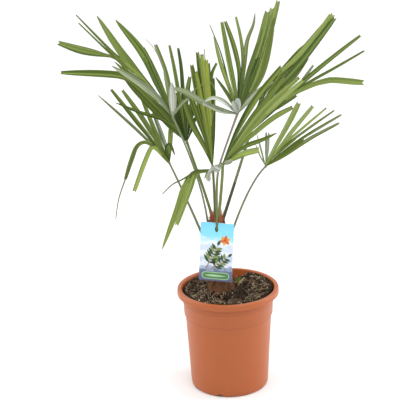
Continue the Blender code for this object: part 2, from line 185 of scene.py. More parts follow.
# Label card
CARD_SIZE = (0.068, 0.0006, 0.1240)
CARD_CORNER = 0.0012
CARD_FOOT = (-0.0262, -0.0362, 0.2424)
CARD_TURN = math.radians(-10.0)
CARD_LEAN = math.radians(-3.0)
CARD_ROLL = math.radians(3.0)
SLOT_SIZE = (0.0070, 0.0136)
SLOT_BELOW_TOP = 0.0132
SLOT_SHIFT = -0.0012
INKS = {
    "green": (66, 92, 60),
    "lime": (140, 160, 96),
    "tan": (166, 132, 108),
    "orange": (236, 120, 60),
    "amber": (250, 180, 60),
    "red": (216, 84, 60),
    "mint": (176, 226, 170),
    "moss": (96, 142, 96),
}
# The card's print from its foot to its top: ridge, haze, clouds and sky
SKY = (
    (0.00, (96, 104, 134)),
    (0.17, (110, 120, 150)),
    (0.22, (158, 174, 200)),
    (0.29, (234, 240, 248)),
    (0.38, (190, 208, 232)),
    (0.46, (242, 246, 250)),
    (0.56, (206, 222, 242)),
    (0.66, (238, 246, 252)),
    (0.76, (146, 226, 252)),
    (1.00, (134, 218, 250)),
)

# Studio: the sky's strength at its horizon and overhead, and each softbox's place, width and power
HORIZON = 0.95
ZENITH = 1.40
SOFTBOXES = {
    "softbox_top": ((0.7, -1.6, 2.6), 1.6, 14),
    "softbox_left": ((-2.2, 0.5, 1.1), 1.5, 26),
    "softbox_right": ((2.2, 0.4, 1.1), 1.5, 34),
}

# Camera: the photograph's place, tilt, roll and angle of view
CAMERA_PLACE = (-0.0526, -2.7691, 1.3693)
CAMERA_TILT = math.radians(70.8)
CAMERA_ROLL = math.radians(-1.6)
LENS = 130.6

# How bright the studio makes a matt surface of full white, and the sheen that it adds
LIGHT = 1.30
CARD_LIGHT = 1.10
SHEEN = 0.030


def srgb(red, green, blue):
    """A colour as a screen shows it (0 to 255), as linear light."""
    return tuple(((c / 255 + 0.055) / 1.055) ** 2.4 for c in (red, green, blue))


def surface(red, green, blue, light=LIGHT):
    """The base colour of a surface that the studio shows on the screen as this colour."""
    return tuple(min(max((c - SHEEN) / light, 0.003), 0.98) for c in srgb(red, green, blue))


# Leaf tones as the screen shows them, with the darker tone of the blade's edge (painted shade), of its rib
# (partly its paler midrib, partly a painted highlight) and of its other side
TONES = {
    "deep": ((72, 92, 28), "deep", "dark", "bluish"),
    "dark": ((95, 113, 48), "deep", "mid", "grey"),
    "olive": ((112, 125, 64), "dark", "mid", "grey"),
    "mid": ((123, 141, 74), "dark", "bright", "grey"),
    "bright": ((140, 157, 85), "mid", "lime", "pale"),
    "yellow": ((174, 178, 62), "bright", "lime", "pale"),
    "lime": ((161, 176, 94), "bright", "fresh", "pale"),
    "fresh": ((152, 167, 112), "bright", "lime", "pale"),
    "bluish": ((132, 144, 110), "olive", "grey", "olive"),
    "grey": ((148, 158, 126), "bluish", "pale", "olive"),
    "pale": ((168, 177, 150), "grey", "silver", "mid"),
    "silver": ((194, 199, 184), "pale", "frost", "mid"),
    "frost": ((206, 212, 212), "silver", "frost", "grey"),
    "brown": ((112, 112, 84), "dark", "olive", "olive"),
    "tan": ((222, 206, 170), "tan", "tan", "brown"),
}
# Up to this share of its length a blade without its own low tone takes its darker edge tone: painted shade
# near the hub
SHADED_TO = 0.15


def leaf(width_mm, shape, tone, *legs, low=None):
    """One blade: its width, its outline, its tone, and (turn, lift, length in mm) for each leg.

    low is the tone of its lower part and the share of the length where that ends; a darker low tone is
    painted shade near the hub, and without one the lower part takes the blade's darker edge tone as painted
    shade up to SHADED_TO.
    """
    return {"width": width_mm / 1000 * BROADER, "shape": shape, "tone": tone, "legs": legs, "low": low}


def fan_of(hub, face, *leaves, droop=False):
    """One fan: its hub, its face's azimuth and elevation, its blades, and whether its end droops."""
    return {"hub": hub, "face": face, "leaves": leaves, "droop": droop}


# Legs that several blades share, where their fan folds over
LOW_LEFT_FOLD = ((-46, 8, 48), (-66, 10, 18), (-116, 12, 15))
LOW_LEFT_DROOP = (*LOW_LEFT_FOLD, (-162, 6, 35), (-167, 2, 43))
FRONT_FOLD = ((-118, 30, 16), (-104, 24, 17))

FANS = {
    "left": fan_of(
        (-0.101, -0.035, 0.590), (-72, 14),
        leaf(12, "whip", "olive", (-36, 4, 96), (-42, 2, 74), (-39, 0, 106), low=("fresh", 0.55)),
        leaf(5, "strand", "olive", (-37, 3, 92), (-43, 0, 76), (-41, 0, 93)),
        leaf(16, "point", "bright", (-33, -8, 92), (-30, -10, 75), (-25, -12, 79), low=("mid", 0.4)),
        leaf(17, "point", "mid", (-16, -14, 68), (-15, -20, 69), (-27, -26, 93), low=("dark", 0.45)),
        leaf(7, "point", "olive", (-9, -22, 86), (-11, -28, 73)),
        leaf(11, "cut", "bluish", (6, -24, 48), (2, -28, 47), (-4, -30, 70)),
        leaf(2, "strand", "grey", (3, -24, 84), (-9, -26, 69), (-32, -20, 24)),
        leaf(16, "point", "silver", (-17, 50, 113)),
        leaf(6, "point", "grey", (27, 30, 22), (42, 30, 28)),
        leaf(13, "point", "grey", (-42, 34, 65), (-52, 32, 68), (-57, 26, 74), low=("grey", 0.6)),
        leaf(9, "point", "mid", (-40, 16, 97), (-53, 14, 46), (-44, 10, 30)),
        leaf(15, "paddle", "mid", (-41, -2, 98), (-35, -6, 63), (-69, -10, 33), (-71, -10, 41),
             (-65, -12, 41)),
        leaf(11, "cut", "olive", (-17, -52, 200)),
        leaf(11, "cut", "olive", (25, -60, 190)),
    ),
    "back_left": fan_of(
        (-0.076, 0.045, 0.515), (-106, 22),
        leaf(15, "taper", "mid", (-46, 2, 83), (-50, 4, 104), (-89, 4, 136)),
        leaf(14, "point", "dark", (-46, -4, 95), (-52, -8, 95)),
        leaf(13, "point", "olive", (-50, 0, 74), (-50, 0, 63), (-50, 0, 45)),
        leaf(13, "point", "deep", (-36, 2, 60), (-38, 0, 52)),
        leaf(12, "point", "deep", (-27, -4, 118)),
        leaf(12, "cut", "deep", (-20, -6, 106)),
        leaf(14, "point", "deep", (-33, -14, 84)),
        leaf(14, "point", "deep", (-24, -16, 82)),
        leaf(13, "point", "deep", (-12, -18, 80)),
        leaf(10, "point", "deep", (3, -16, 86)),
        leaf(9, "point", "deep", (10, -20, 62)),
        leaf(7, "point", "dark", (-48, 26, 62), (-75, 24, 53), (-72, 18, 54)),
        leaf(8, "cut", "mid", (-14, 0, 87), (-15, 0, 73), (-17, 0, 43)),
        leaf(8, "cut", "dark", (-9, 0, 85), (-9, 0, 72), (-14, 0, 37)),
        leaf(11, "cut", "mid", (-10, -14, 80), (-1, -16, 64)),
        leaf(11, "point", "dark", (-3, -22, 68), (-6, -26, 54)),
        leaf(12, "cut", "deep", (-59, -50, 215)),
        leaf(10, "cut", "deep", (-32, -60, 190)),
    ),
    "low_left": fan_of(
        (-0.112, 0.012, 0.481), (-100, 32),
        leaf(6, "point", "bluish", (-47, 2, 88), (-50, 0, 124)),
        leaf(9, "cut", "mid", (-41, 0, 96), (-41, 0, 107)),
        leaf(10, "cut", "bright", (-34, -4, 105), (-38, -4, 88)),
        leaf(9, "cut", "bright", (-28, -6, 66), (-26, -8, 96)),
        leaf(9, "cut", "grey", (-19, -12, 50), (-25, -16, 79)),
        leaf(10, "cut", "bright", (-5, -18, 73), (-6, -20, 40)),
        leaf(6, "point", "dark", (-8, 4, 38), (143, 10, 30)),
        leaf(7, "cut", "mid", *LOW_LEFT_FOLD),
        leaf(10, "cut", "olive", *LOW_LEFT_DROOP, low=("lime", 0.45)),
        leaf(3.4, "strand", "brown", *LOW_LEFT_DROOP, (-166, 0, 42), (-176, 0, 41)),
        leaf(9, "strap", "bright", (-48, 12, 47), (-158, 14, 25), (-166, 8, 79)),
        leaf(9, "cut", "olive", (-40, -50, 190)),
        droop=True,
    ),
    "centre": fan_of(
        (-0.025, 0.020, 0.470), (-90, 8),
        leaf(15, "cut", "mid", (-20, 0, 50), (-27, 0, 44), (-19, 0, 56)),
        leaf(13, "cut", "olive", (-14, 0, 51), (-17, 0, 56), (-18, 0, 59)),
        leaf(12, "cut", "mid", (-8, 0, 58), (-12, 0, 69), (-10, 0, 83)),
        leaf(10, "cut", "yellow", (-6, 3, 58), (-9, 3, 67), (-10, 3, 72), low=("bright", 0.3)),
        leaf(11, "cut", "mid", (-4, 0, 57), (-8, 0, 68), (-6, 0, 108), low=("yellow", 0.5)),
        leaf(11, "cut", "yellow", (-3, 4, 57), (-5, 4, 67), (-4, 4, 106), low=("yellow", 0.25)),
        leaf(9, "cut", "yellow", (-1, 4, 57), (-2, 4, 67), (-2, 4, 94), low=("mid", 0.3)),
        leaf(3, "strand", "fresh", (-2, 0, 57), (-4, 0, 67), (-2, 0, 113)),
        leaf(8, "cut", "olive", (0, 0, 57), (-1, 0, 66), (-1, 0, 86)),
        leaf(8, "cut", "olive", (1, 0, 57), (2, 0, 66), (0, 0, 64), (26, 0, 24)),
        leaf(7, "cut", "dark", (3, 0, 57), (2, 0, 66), (1, 0, 56)),
        leaf(2, "strand", "fresh", (0, 4, 85), (-1, 6, 88), (-112, 10, 24), (-122, 10, 30)),
        leaf(10, "cut", "dark", (-8, -38, 175)),
        leaf(10, "cut", "dark", (-3, -58, 165)),
    ),
    "top": fan_of(
        (0.026, -0.012, 0.587), (-92, 38),
        leaf(22, "point", "bluish", (-83, 18, 32), (-66, 22, 23), (-69, 22, 31), (-67, 22, 27), (-84, 22, 27),
             low=("pale", 0.4)),
        leaf(8, "point", "grey", (-79, 20, 54), (-71, 20, 43), (-131, 16, 24)),
        leaf(10, "point", "silver", (-57, 30, 41), (-91, 40, 22), (-131, 40, 29)),
        leaf(7, "point", "dark", (-25, 2, 46), (-32, 0, 44)),
        leaf(3, "strand", "dark", (-14, 0, 66), (-13, 0, 69), (-19, 0, 66)),
        leaf(8, "point", "bright", (-15, 0, 48), (-18, 0, 55), (-13, 0, 72)),
        leaf(10, "cut", "mid", (-6, 0, 51), (-9, 0, 75), (-9, 0, 77)),
        leaf(10, "cut", "mid", (4, -6, 88), (-10, -6, 68), (-16, -6, 62), low=("dark", 0.4)),
        leaf(7, "cut", "bright", (6, -10, 123), (-4, -10, 59), (-10, -10, 55), low=("dark", 0.4)),
        leaf(9, "point", "bluish", (8, 0, 112), (8, 0, 48), (20, 0, 37), (8, 0, 25), low=("dark", 0.45)),
        leaf(12, "strap", "mid", (15.5, -2, 87), (18, -4, 77), (13, -6, 76), low=("dark", 0.62)),
        leaf(11, "strap", "fresh", (21, -4, 89), (17, -6, 81), (13, -6, 84), low=("dark", 0.58)),
        leaf(13, "cut", "mid", (27, -4, 90), (15, -6, 83), (14, -6, 102)),
        leaf(10, "point", "olive", (32, -2, 91), (15, -6, 62), (9, -8, 97)),
        leaf(11, "point", "pale", (54, 40, 40), (60, 38, 34), (71, 34, 30)),
        leaf(12, "wedge", "silver", (-26, 44, 29), low=("silver", 0.2)),
        leaf(13, "wedge", "frost", (2, 40, 32), low=("frost", 0.2)),
        leaf(12, "cut", "dark", (15, -34, 210)),
        leaf(9, "cut", "dark", (-3, -45, 155)),
    ),
    "front": fan_of(
        (-0.006, -0.070, 0.503), (-96, 8),
        leaf(12, "cut", "mid", (24, 2, 65), (29, 0, 69), (38, -4, 90), low=("dark", 0.5)),
        leaf(12, "cut", "mid", (30, 0, 59), (37, -2, 78), (39, -6, 73), low=("dark", 0.4)),
        leaf(10, "cut", "fresh", (35, 2, 73), (40, 4, 72), (48, 4, 84)),
        leaf(11, "cut", "fresh", (40, 4, 75), (42, 6, 73), (48, 6, 83), low=("bright", 0.5)),
        leaf(12, "cut", "bright", (44, 2, 73), (51, 0, 60), (61, 0, 46)),
        leaf(10, "cut", "mid", (40, 0, 84), (47, 0, 93)),
        leaf(9, "point", "olive", (52, 6, 59), (68, 6, 34), (64, 4, 32)),
        leaf(17, "cut", "fresh", (60, 8, 49), (79, 10, 32), low=("bright", 0.5)),
        leaf(9, "wedge", "pale", (68, 30, 16), (60, 32, 11), low=("grey", 0.2)),
        leaf(8, "strap", "bluish", *FRONT_FOLD, (-94, 20, 24)),
        leaf(12, "point", "fresh", *FRONT_FOLD, (-96, 20, 29), (-145, 10, 28), (-161, 6, 49), (-159, 4, 88),
             low=("mid", 0.30)),
        leaf(12, "cut", "fresh", *FRONT_FOLD, (-99, 22, 24), (-156, 14, 29), (-160, 8, 39), (-160, 4, 43),
             low=("bright", 0.6)),
        leaf(3.6, "strand", "brown", *FRONT_FOLD, (-95, 24, 27), (-118, 18, 29), (-115, 14, 21),
             (-133, 10, 28)),
        leaf(6, "point", "grey", (-111, 34, 18), (-119, 34, 18), (-150, 30, 16)),
        leaf(5, "point", "bluish", (-117, 40, 18), (-116, 40, 13), (-166, 34, 15)),
        leaf(9, "cut", "silver", (-118, 44, 13), (-98, 50, 14)),
        leaf(6, "strap", "silver", (-135, 40, 10), (-165, 40, 7), (-100, 40, 8), (-40, 40, 9), (40, 40, 9),
             (110, 40, 9), (170, 40, 7)),
        leaf(9, "wedge", "silver", (-117, 46, 38), (-150, 40, 12), (140, 36, 12), low=("pale", 0.5)),
        leaf(8, "wedge", "pale", (-121, 46, 46), (-175, 40, 10), (110, 36, 8), low=("grey", 0.5)),
        leaf(8, "wedge", "frost", (-112, 46, 32), (-165, 38, 14), (160, 34, 8), low=("pale", 0.4)),
        droop=True,
    ),
    "back_right": fan_of(
        (0.061, 0.060, 0.551), (-74, 26),
        leaf(11, "cut", "fresh", (29, 4, 77), (55, 3, 81), (49, 3, 77), (42, 3, 50), low=("dark", 0.36)),
        leaf(12, "cut", "mid", (32, 0, 76), (48, 0, 79), (53, 0, 47), low=("dark", 0.5)),
        leaf(15, "cut", "fresh", (38, 2, 79), (48, 2, 78), (48, 2, 79), (47, 2, 52), low=("mid", 0.42)),
        leaf(13, "cut", "dark", (44, 4, 79), (50, 4, 77), (46, 4, 70), (45, 4, 54)),
        leaf(12, "cut", "mid", (51, 2, 75), (49, 2, 59), (44, 2, 44)),
        leaf(9, "cut", "mid", (60, 0, 105), (58, 0, 75), (59, 0, 78), (60, 0, 44)),
        leaf(6, "cut", "olive", (62, 2, 95), (65, 2, 51), (68, 2, 63), (67, 2, 76)),
        leaf(14, "strap", "bright", (64.5, 6, 106), (73, 8, 46), (85, 10, 30), (102, 12, 70)),
        leaf(7, "cut", "bluish", (65, -4, 95), (46, -8, 52), (46, -12, 45)),
        leaf(8, "cut", "olive", (68, 4, 51), (66, 4, 55)),
        leaf(12, "cut", "olive", (48, -40, 225)),
        leaf(10, "cut", "olive", (48, -58, 185)),
    ),
    "right": fan_of(
        (0.077, -0.085, 0.500), (-108, 12),
        leaf(5, "cut", "grey", (-13, -40, 39), (-19, -46, 49)),
        leaf(5, "cut", "pale", (-6, -38, 38), (-14, -44, 45)),
        leaf(4, "point", "grey", (-35, -46, 46), (-39, -50, 59)),
        leaf(3, "point", "grey", (-49, -46, 33), (-45, -50, 49)),
        leaf(11, "strap", "lime", (27, 0, 37), (26, 0, 46), (24, 0, 59)),
        leaf(8, "strap", "fresh", (33, 0, 35), (36, 0, 45), (37, 0, 72)),
        leaf(5, "cut", "fresh", (35, 0, 43), (46, 0, 53), (47, 0, 71)),
        leaf(5, "cut", "bluish", (40, 0, 42), (49, 0, 53), (52, 0, 81)),
        leaf(6, "cut", "bluish", (48, 0, 39), (52, 0, 61), (56, 0, 82), low=("olive", 0.5)),
        leaf(7, "cut", "bluish", (58, 4, 40), (54, 6, 68), (59, 6, 66), low=("olive", 0.55)),
        leaf(11, "point", "mid", (43, 2, 42), (45, 2, 50)),
        leaf(11, "point", "olive", (51, 2, 42), (53, 2, 52)),
        leaf(9, "cut", "olive", (52, -46, 90)),
    ),
}

# Basal shoot: its foot, the run of its short stem, and its leaves
SHOOT_FOOT = (0.0222, 0.0060, 0.2035)
SHOOT_STEM = (0.0004, 0.0100, 0.0120)
SHOOT_LEAVES = [
    leaf(4.2, "point", "bright", (-34, 0, 13)),
    leaf(4.0, "point", "mid", (-8, 0, 15)),
    leaf(3.4, "point", "bright", (14, 0, 12)),
    leaf(3.0, "point", "mid", (-10, -40, 11)),
    leaf(4.0, "point", "tan", (46, 6, 17)),
    leaf(3.0, "point", "tan", (76, 10, 8)),
]


# Materials

MATERIALS = {}


def shader_of(name):
    """A new material's node tree and its shader."""
    made = bpy.data.materials.new(name)
    made.use_nodes = True
    MATERIALS[name] = made
    return made.node_tree, made.node_tree.nodes["Principled BSDF"]


def node(tree, kind, **inputs):
    """A new shader node, with a value for each input that is named."""
    made = tree.nodes.new(f"ShaderNode{kind}")
    for key, value in inputs.items():
        made.inputs[key.replace("_", " ")].default_value = value
    return made


def wire(source, output, target, entry):
    """Join one node's output to another node's input."""
    source.id_data.links.new(source.outputs[output], target.inputs[entry])


def shade(colour, factor):
    return (*(min(c * factor, 1.0) for c in colour), 1)


def grained(name, colour, roughness, spread, grain, bump, depth, place="Object", gloss=0.5):
    """A material with a grain: noise that shifts its colour, its roughness and its surface."""
    tree, shader = shader_of(name)
    shader.inputs["Specular IOR Level"].default_value = gloss
    coords = node(tree, "TexCoord")
    mapping = node(tree, "Mapping", Scale=grain)
    wire(coords, place, mapping, "Vector")
    mottle = node(tree, "TexNoise", Scale=1.0, Detail=5.0, Roughness=0.6)
    wire(mapping, "Vector", mottle, "Vector")
    ramp = node(tree, "ValToRGB")
    for stop, position, factor in zip(ramp.color_ramp.elements, (0.3, 0.7), (1 - spread, 1 + spread)):
        stop.position = position
        stop.color = shade(colour, factor)
    wire(mottle, "Fac", ramp, "Fac")
    wire(ramp, "Color", shader, "Base Color")
    rough = node(tree, "MapRange", To_Min=roughness - 0.08, To_Max=min(roughness + 0.08, 1.0))
    wire(mottle, "Fac", rough, "Value")
    wire(rough, "Result", shader, "Roughness")
    relief = node(tree, "Bump", Strength=bump, Distance=depth)
    wire(mottle, "Fac", relief, "Height")
    wire(relief, "Normal", shader, "Normal")
    return coords, relief, shader


def leaf_material(name, colour):
    """Leaf skin: broad streaks and fine veins that run along the blade, in its tone and its relief."""
    coords, relief, shader = grained(name, colour, 0.46, 0.30, (5.0, 0.35, 1), 0.25, 0.0002, "UV", 0.28)
    veins = node(shader.id_data, "TexWave", Scale=2.6, Distortion=0.0)
    veins.bands_direction = "X"
    wire(coords, "UV", veins, "Vector")
    furrows = node(shader.id_data, "Bump", Strength=0.35, Distance=0.00025)
    wire(veins, "Fac", furrows, "Height")
    wire(relief, "Normal", furrows, "Normal")
    wire(furrows, "Normal", shader, "Normal")


STALK_COLOURS = {
    # shade is a darker stalk tone, painted shade on the lower half of a stalk
    "shade": (82, 86, 60),
    "moss": (128, 136, 102),
    "ash": (134, 134, 116),
    "green": (116, 130, 76),
    "olive": (116, 118, 78),
    "yellow": (132, 144, 84),
    "grey": (147, 143, 122),
}
# Base colours of what the compost is made of, as linear light
EARTHS = {
    "compost_bed": (0.018, 0.013, 0.009),
    "crumb_dark": (0.026, 0.018, 0.012),
    "crumb_brown": (0.082, 0.050, 0.032),
    "crumb_tan": (0.30, 0.22, 0.14),
    "crumb_pale": (0.56, 0.47, 0.35),
    "root_pale": (0.52, 0.44, 0.30),
    "root_tan": (0.29, 0.23, 0.13),
    "root_rust": (0.20, 0.095, 0.060),
}


def make_materials():
    for tone, (colour, *_) in TONES.items():
        leaf_material(f"leaf_{tone}", surface(*colour))
    for tone, colour in STALK_COLOURS.items():
        grained(f"stalk_{tone}", surface(*colour), 0.45, 0.16, (5, 60, 1), 0.3, 0.0003, "UV")
    grained("leaf_dry", surface(116, 110, 82), 0.70, 0.20, (6, 3, 1), 0.4, 0.0003, "UV")
    grained("pot_plastic", (0.346, 0.078, 0.011), 0.42, 0.03, (240, 240, 240), 0.10, 0.0002)
    # Near-black lining of the drain notches: painted shade inside them
    grained("drain_painted_shade", (0.004, 0.003, 0.002), 0.90, 0.20, (200, 200, 200), 0.3, 0.0003, gloss=0.05)
    grained("bark", surface(118, 87, 64), 0.90, 0.40, (160, 160, 50), 0.9, 0.0012)
    grained("bark_dark", surface(60, 38, 26), 0.92, 0.35, (200, 200, 60), 0.9, 0.0010)
    grained("fibre_pink", surface(214, 128, 102), 0.80, 0.25, (150, 150, 150), 0.3, 0.0003)
    grained("fibre_red", surface(142, 92, 68), 0.80, 0.25, (150, 150, 150), 0.3, 0.0003)
    grained("fibre_tan", surface(164, 124, 84), 0.80, 0.20, (150, 150, 150), 0.3, 0.0003)
    for name, colour in EARTHS.items():
        grained(name, colour, 0.90, 0.30, (400, 400, 400), 0.8, 0.0008, gloss=0.12)
    for ink, colour in INKS.items():
        grained(f"ink_{ink}", surface(*colour), 0.30, 0.12, (500, 500, 500), 0.1, 0.0001)
    grained("card_paper", srgb(236, 240, 240), 0.40, 0.02, (300, 300, 300), 0.1, 0.0001)
    card_print()
    grained("floor_white", (0.80, 0.80, 0.80), 0.90, 0.01, (3, 3, 3), 0.05, 0.0002)


def card_print():
    """Print of the card: a sky that pales into clouds, above a low slate-blue ridge."""
    tree, shader = shader_of("card_print")
    shader.inputs["Roughness"].default_value = 0.28
    coords = node(tree, "TexCoord")
    parts = node(tree, "SeparateXYZ")
    wire(coords, "UV", parts, "Vector")
    slant = node(tree, "Mapping", Rotation=(0, 0, math.radians(-24)), Scale=(1.3, 4.2, 1))
    wire(coords, "UV", slant, "Vector")
    clouds = node(tree, "TexNoise", Scale=3.0, Detail=6.0, Roughness=0.62)
    wire(slant, "Vector", clouds, "Vector")
    waver = node(tree, "Math")
    waver.operation = "MULTIPLY_ADD"
    waver.inputs[1].default_value = 0.30
    waver.inputs[2].default_value = -0.15
    wire(clouds, "Fac", waver, 0)
    height = node(tree, "Math")
    wire(parts, "Y", height, 0)
    wire(waver, "Value", height, 1)
    ramp = node(tree, "ValToRGB")
    stops = ramp.color_ramp.elements
    for position, colour in SKY:
        stop = next((s for s in stops if s.position == position), None) or stops.new(position)
        stop.color = (*surface(*colour, CARD_LIGHT), 1)
    wire(height, "Value", ramp, "Fac")
    wire(ramp, "Color", shader, "Base Color")
    relief = node(tree, "Bump", Strength=0.05, Distance=0.0002)
    wire(clouds, "Fac", relief, "Height")
    wire(relief, "Normal", shader, "Normal")


# Mesh building


class Build:
    """Points and faces gathered for one mesh, with each face's material and each point's grain place."""

    def __init__(self):
        self.points, self.faces, self.face_slots, self.places, self.slots = [], [], [], [], []

    def slot(self, material):
        if material not in self.slots:
            self.slots.append(material)
        return self.slots.index(material)

    def point(self, place, grain=(0.0, 0.0)):
        self.points.append(tuple(place))
        self.places.append(grain)
        return len(self.points) - 1

    def face(self, corners, material):
        self.faces.append(tuple(corners))
        self.face_slots.append(self.slot(material))

    def rings(self, rings, material):
        """Quads between each ring of points and the next."""
        for low, high in zip(rings, rings[1:]):
            for i in range(len(low)):
                after = (i + 1) % len(low)
                self.face((low[i], low[after], high[after], high[i]), material)

    def body(self, rings, material):
        """Rings joined by quads, with a cap on each end."""
        self.rings(rings, material)
        self.face(rings[0][::-1], material)
        self.face(rings[-1], material)

    def make(self, name, finish, *nodes, sharp=38):
        """The mesh's object, which stands for the nodes named where it has a finish."""
        mesh = bpy.data.meshes.new(name)
        mesh.from_pydata(self.points, [], self.faces)
        corners = np.empty(len(mesh.loops), np.int32)
        mesh.loops.foreach_get("vertex_index", corners)
        grain = mesh.uv_layers.new(name="grain")
        grain.data.foreach_set("uv", np.array(self.places, np.float32)[corners].ravel())
        for material in self.slots:
            mesh.materials.append(MATERIALS[material])
        mesh.polygons.foreach_set("material_index", self.face_slots)
        mesh.shade_smooth()
        mesh.set_sharp_from_angle(angle=math.radians(sharp))
        made = bpy.data.objects.new(name, mesh)
        bpy.context.scene.collection.objects.link(made)
        if finish:
            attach(made, "root")
            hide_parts(*nodes)
        return made


def around(angle):
    """The level direction at an angle from +X."""
    return Vector((math.cos(angle), math.sin(angle), 0))


def rise(height):
    """A step straight up."""
    return Vector((0, 0, height))


def outward(polar, angle):
    """The direction at a polar angle from straight down, and an angle round."""
    return Vector((math.sin(polar) * math.cos(angle), math.sin(polar) * math.sin(angle), -math.cos(polar)))


def arc(x, z, radius, start, end, steps):
    """Points (x, z) on an arc round a centre, from one angle to another in quarter turns."""
    angles = [math.pi / 2 * (start + (end - start) * k / steps) for k in range(steps + 1)]
    return [(x + radius * math.cos(angle), z + radius * math.sin(angle)) for angle in angles]


def tube(build, route, radii, material, sides):
    """A closed round tube along a route, with one radius for each of its points."""
    forward = (route[1] - route[0]).normalized()
    side = forward.orthogonal().normalized()
    rings = []
    for i, place in enumerate(route):
        ahead = route[min(i + 1, len(route) - 1)] - route[max(i - 1, 0)]
        if ahead.length > 0:
            forward = ahead.normalized()
        side = (side - forward * side.dot(forward)).normalized()
        over = forward.cross(side)
        ring = []
        for k in range(sides):
            angle = k * math.tau / sides
            spot = place + (side * math.cos(angle) + over * math.sin(angle)) * radii[i]
            ring.append(build.point(spot, (k / sides, i * 0.1)))
        rings.append(ring)
    build.body(rings, material)


def mix(table, share):
    """The value at a share of a table of (share, value) pairs, on straight lines between them."""
    for (low, a), (high, b) in zip(table, table[1:]):
        if share <= high:
            return a + (b - a) * (share - low) / (high - low)
    return table[-1][1]


# Foliage


def fan_axes(face):
    """The fan's own right, up and face directions, from its face's azimuth and elevation."""
    azimuth, elevation = (math.radians(angle) for angle in face)
    facing = around(azimuth) * math.cos(elevation)
    facing.z = math.sin(elevation)
    up = (rise(1) - facing * facing.z).normalized()
    return up.cross(facing), up, facing


def heading(axes, turn, lift):
    """The direction at a turn from the fan's up, within its plane, and a lift out of it."""
    right, up, facing = axes
    turn, lift = math.radians(turn), math.radians(lift)
    return (right * math.sin(turn) + up * math.cos(turn)) * math.cos(lift) + facing * math.sin(lift)


def route_length(route):
    return sum((b - a).length for a, b in zip(route, route[1:]))


def blade_route(start, axes, legs, ease):
    """The blade's midline: a slightly arched curve through its joints, crisp where ease is small."""
    joints = [start.copy()]
    for turn, lift, length in legs:
        joints.append(joints[-1] + heading(axes, turn, lift) * length / 1000)
    runs = [b - a for a, b in zip(joints, joints[1:])]
    headings = [runs[0].normalized()]
    headings += [(a.normalized() + b.normalized()).normalized() for a, b in zip(runs, runs[1:])]
    headings.append(runs[-1].normalized())
    route = [joints[0]]
    steps = 8
    for i, run in enumerate(runs):
        pull = run.length * ease
        for k in range(1, steps + 1):
            t = k / steps
            before, after = 2 * t ** 3 - 3 * t ** 2 + 1, 3 * t ** 2 - 2 * t ** 3
            leaving, arriving = t ** 3 - 2 * t ** 2 + t, t ** 3 - t ** 2
            place = joints[i] * before + joints[i + 1] * after
            place += headings[i] * pull * leaving + headings[i + 1] * pull * arriving
            route.append(place)
    total = route_length(route)
    walked, arched = 0.0, [route[0]]
    for a, b in zip(route, route[1:]):
        walked += (b - a).length
        share = walked / total
        arched.append(b + rise(1) * ARCH * total * 4 * share * (1 - share))
    return arched


def along(route, share):
    """The place and heading at a share of the route's length."""
    left = share * route_length(route)
    for a, b in zip(route, route[1:]):
        step = (b - a).length
        if left <= step or b is route[-1]:
            return a.lerp(b, left / step), (b - a).normalized()
        left -= step


def pleats(leaves):
    """For each blade, half the angle to the neighbour that it is pleated to on its left and right."""
    joined = []
    for own in leaves:
        turn, lift = own["legs"][0][:2]
        sides = []
        for direction in (-1, 1):
            gaps = []
            for other in leaves:
                gap = (other["legs"][0][0] - turn) * direction
                if 3 <= gap <= 16 and abs(other["legs"][0][1] - lift) < 9:
                    gaps.append(gap)
            sides.append(math.radians(min(gaps)) / 2 if gaps else None)
        joined.append(sides)
    return joined


def strip_tones(tone, chance):
    """The tones of a blade's strips, from its left edge over its rib to its right edge: darker edge-tone
    strips at the edges, over one half and here and there are painted shade, and lighter rib-tone strips are
    partly the paler midrib and partly painted highlights on the pleats.
    """
    _, edge, rib, _ = TONES[tone]
    # One half of the blade, picked at random, takes the darker edge tone as painted shade of its unlit side
    shaded = chance.choice((-1, 0, 0, 0, 1))
    strips = []
    for left, right in zip(ACROSS, ACROSS[1:]):
        middle = (left + right) / 2
        # Scattered strips in the darker edge tone or the lighter rib tone are painted shade and painted
        # highlight streaks along the pleats
        kind = chance.choice((tone, tone, tone, edge, edge, rib, rib))
        if abs(middle) < 0.13:
            kind = chance.choice((rib, tone, tone, tone))
        elif abs(middle) > 0.8 or middle * shaded > 0:
            kind = edge
        strips.append(f"leaf_{kind}")
    return strips


def blade_rings(build, route, facing, own, joined, fold, twist, wander):
    """The blade's cross-sections, each as (share of its length, its upper points, its lower points)."""
    length = route_length(route)
    outline = LEAF_SHAPES[own["shape"]]
    shares = [FINE_ENDS[0] * j / STATIONS for j in range(STATIONS + 1)] + list(FINE_ENDS[1:])
    rings = []
    for share in shares:
        centre, forward = along(route, share)
        side = forward.cross(facing).normalized()
        side = Matrix.Rotation(twist * share ** 1.5, 3, forward) @ side
        ridge = side.cross(forward)
        reach = share * length
        open_half = own["width"] / 2 * mix(outline, share)
        full_half = own["width"] / 2 if share < JOINED_TO else open_half
        opening = math.tan(math.radians(fold * (1 - 0.45 * share)))
        upper, lower = [], []
        for u in ACROSS:
            near = joined[0 if u < 0 else 1]
            half = open_half
            if near:
                half = min(full_half, max(reach * math.tan(near), own["width"] * 0.04))
            ripple = noise.noise(Vector((wander + share * 5, u, 0))) * 0.08 * half
            spot = centre + side * half * u + ridge * (abs(u) * half * opening + ripple * abs(u))
            if own["shape"] in SPLIT_TIPS and share == 1.0:
                spot -= forward * half * 0.9 * (1 - abs(u))
            grain = (0.5 + u / 2 + wander, reach * 12)
            keel = KEEL * (1 - share) if abs(u) < 0.05 else 0.0
            thin = THICKNESS * (1 - 0.5 * abs(u)) * (1 - 0.4 * share)
            upper.append(build.point(spot + ridge * thin / 2, grain))
            lower.append(build.point(spot - ridge * (thin / 2 + keel), grain))
        rings.append((share, upper, lower))
    return rings


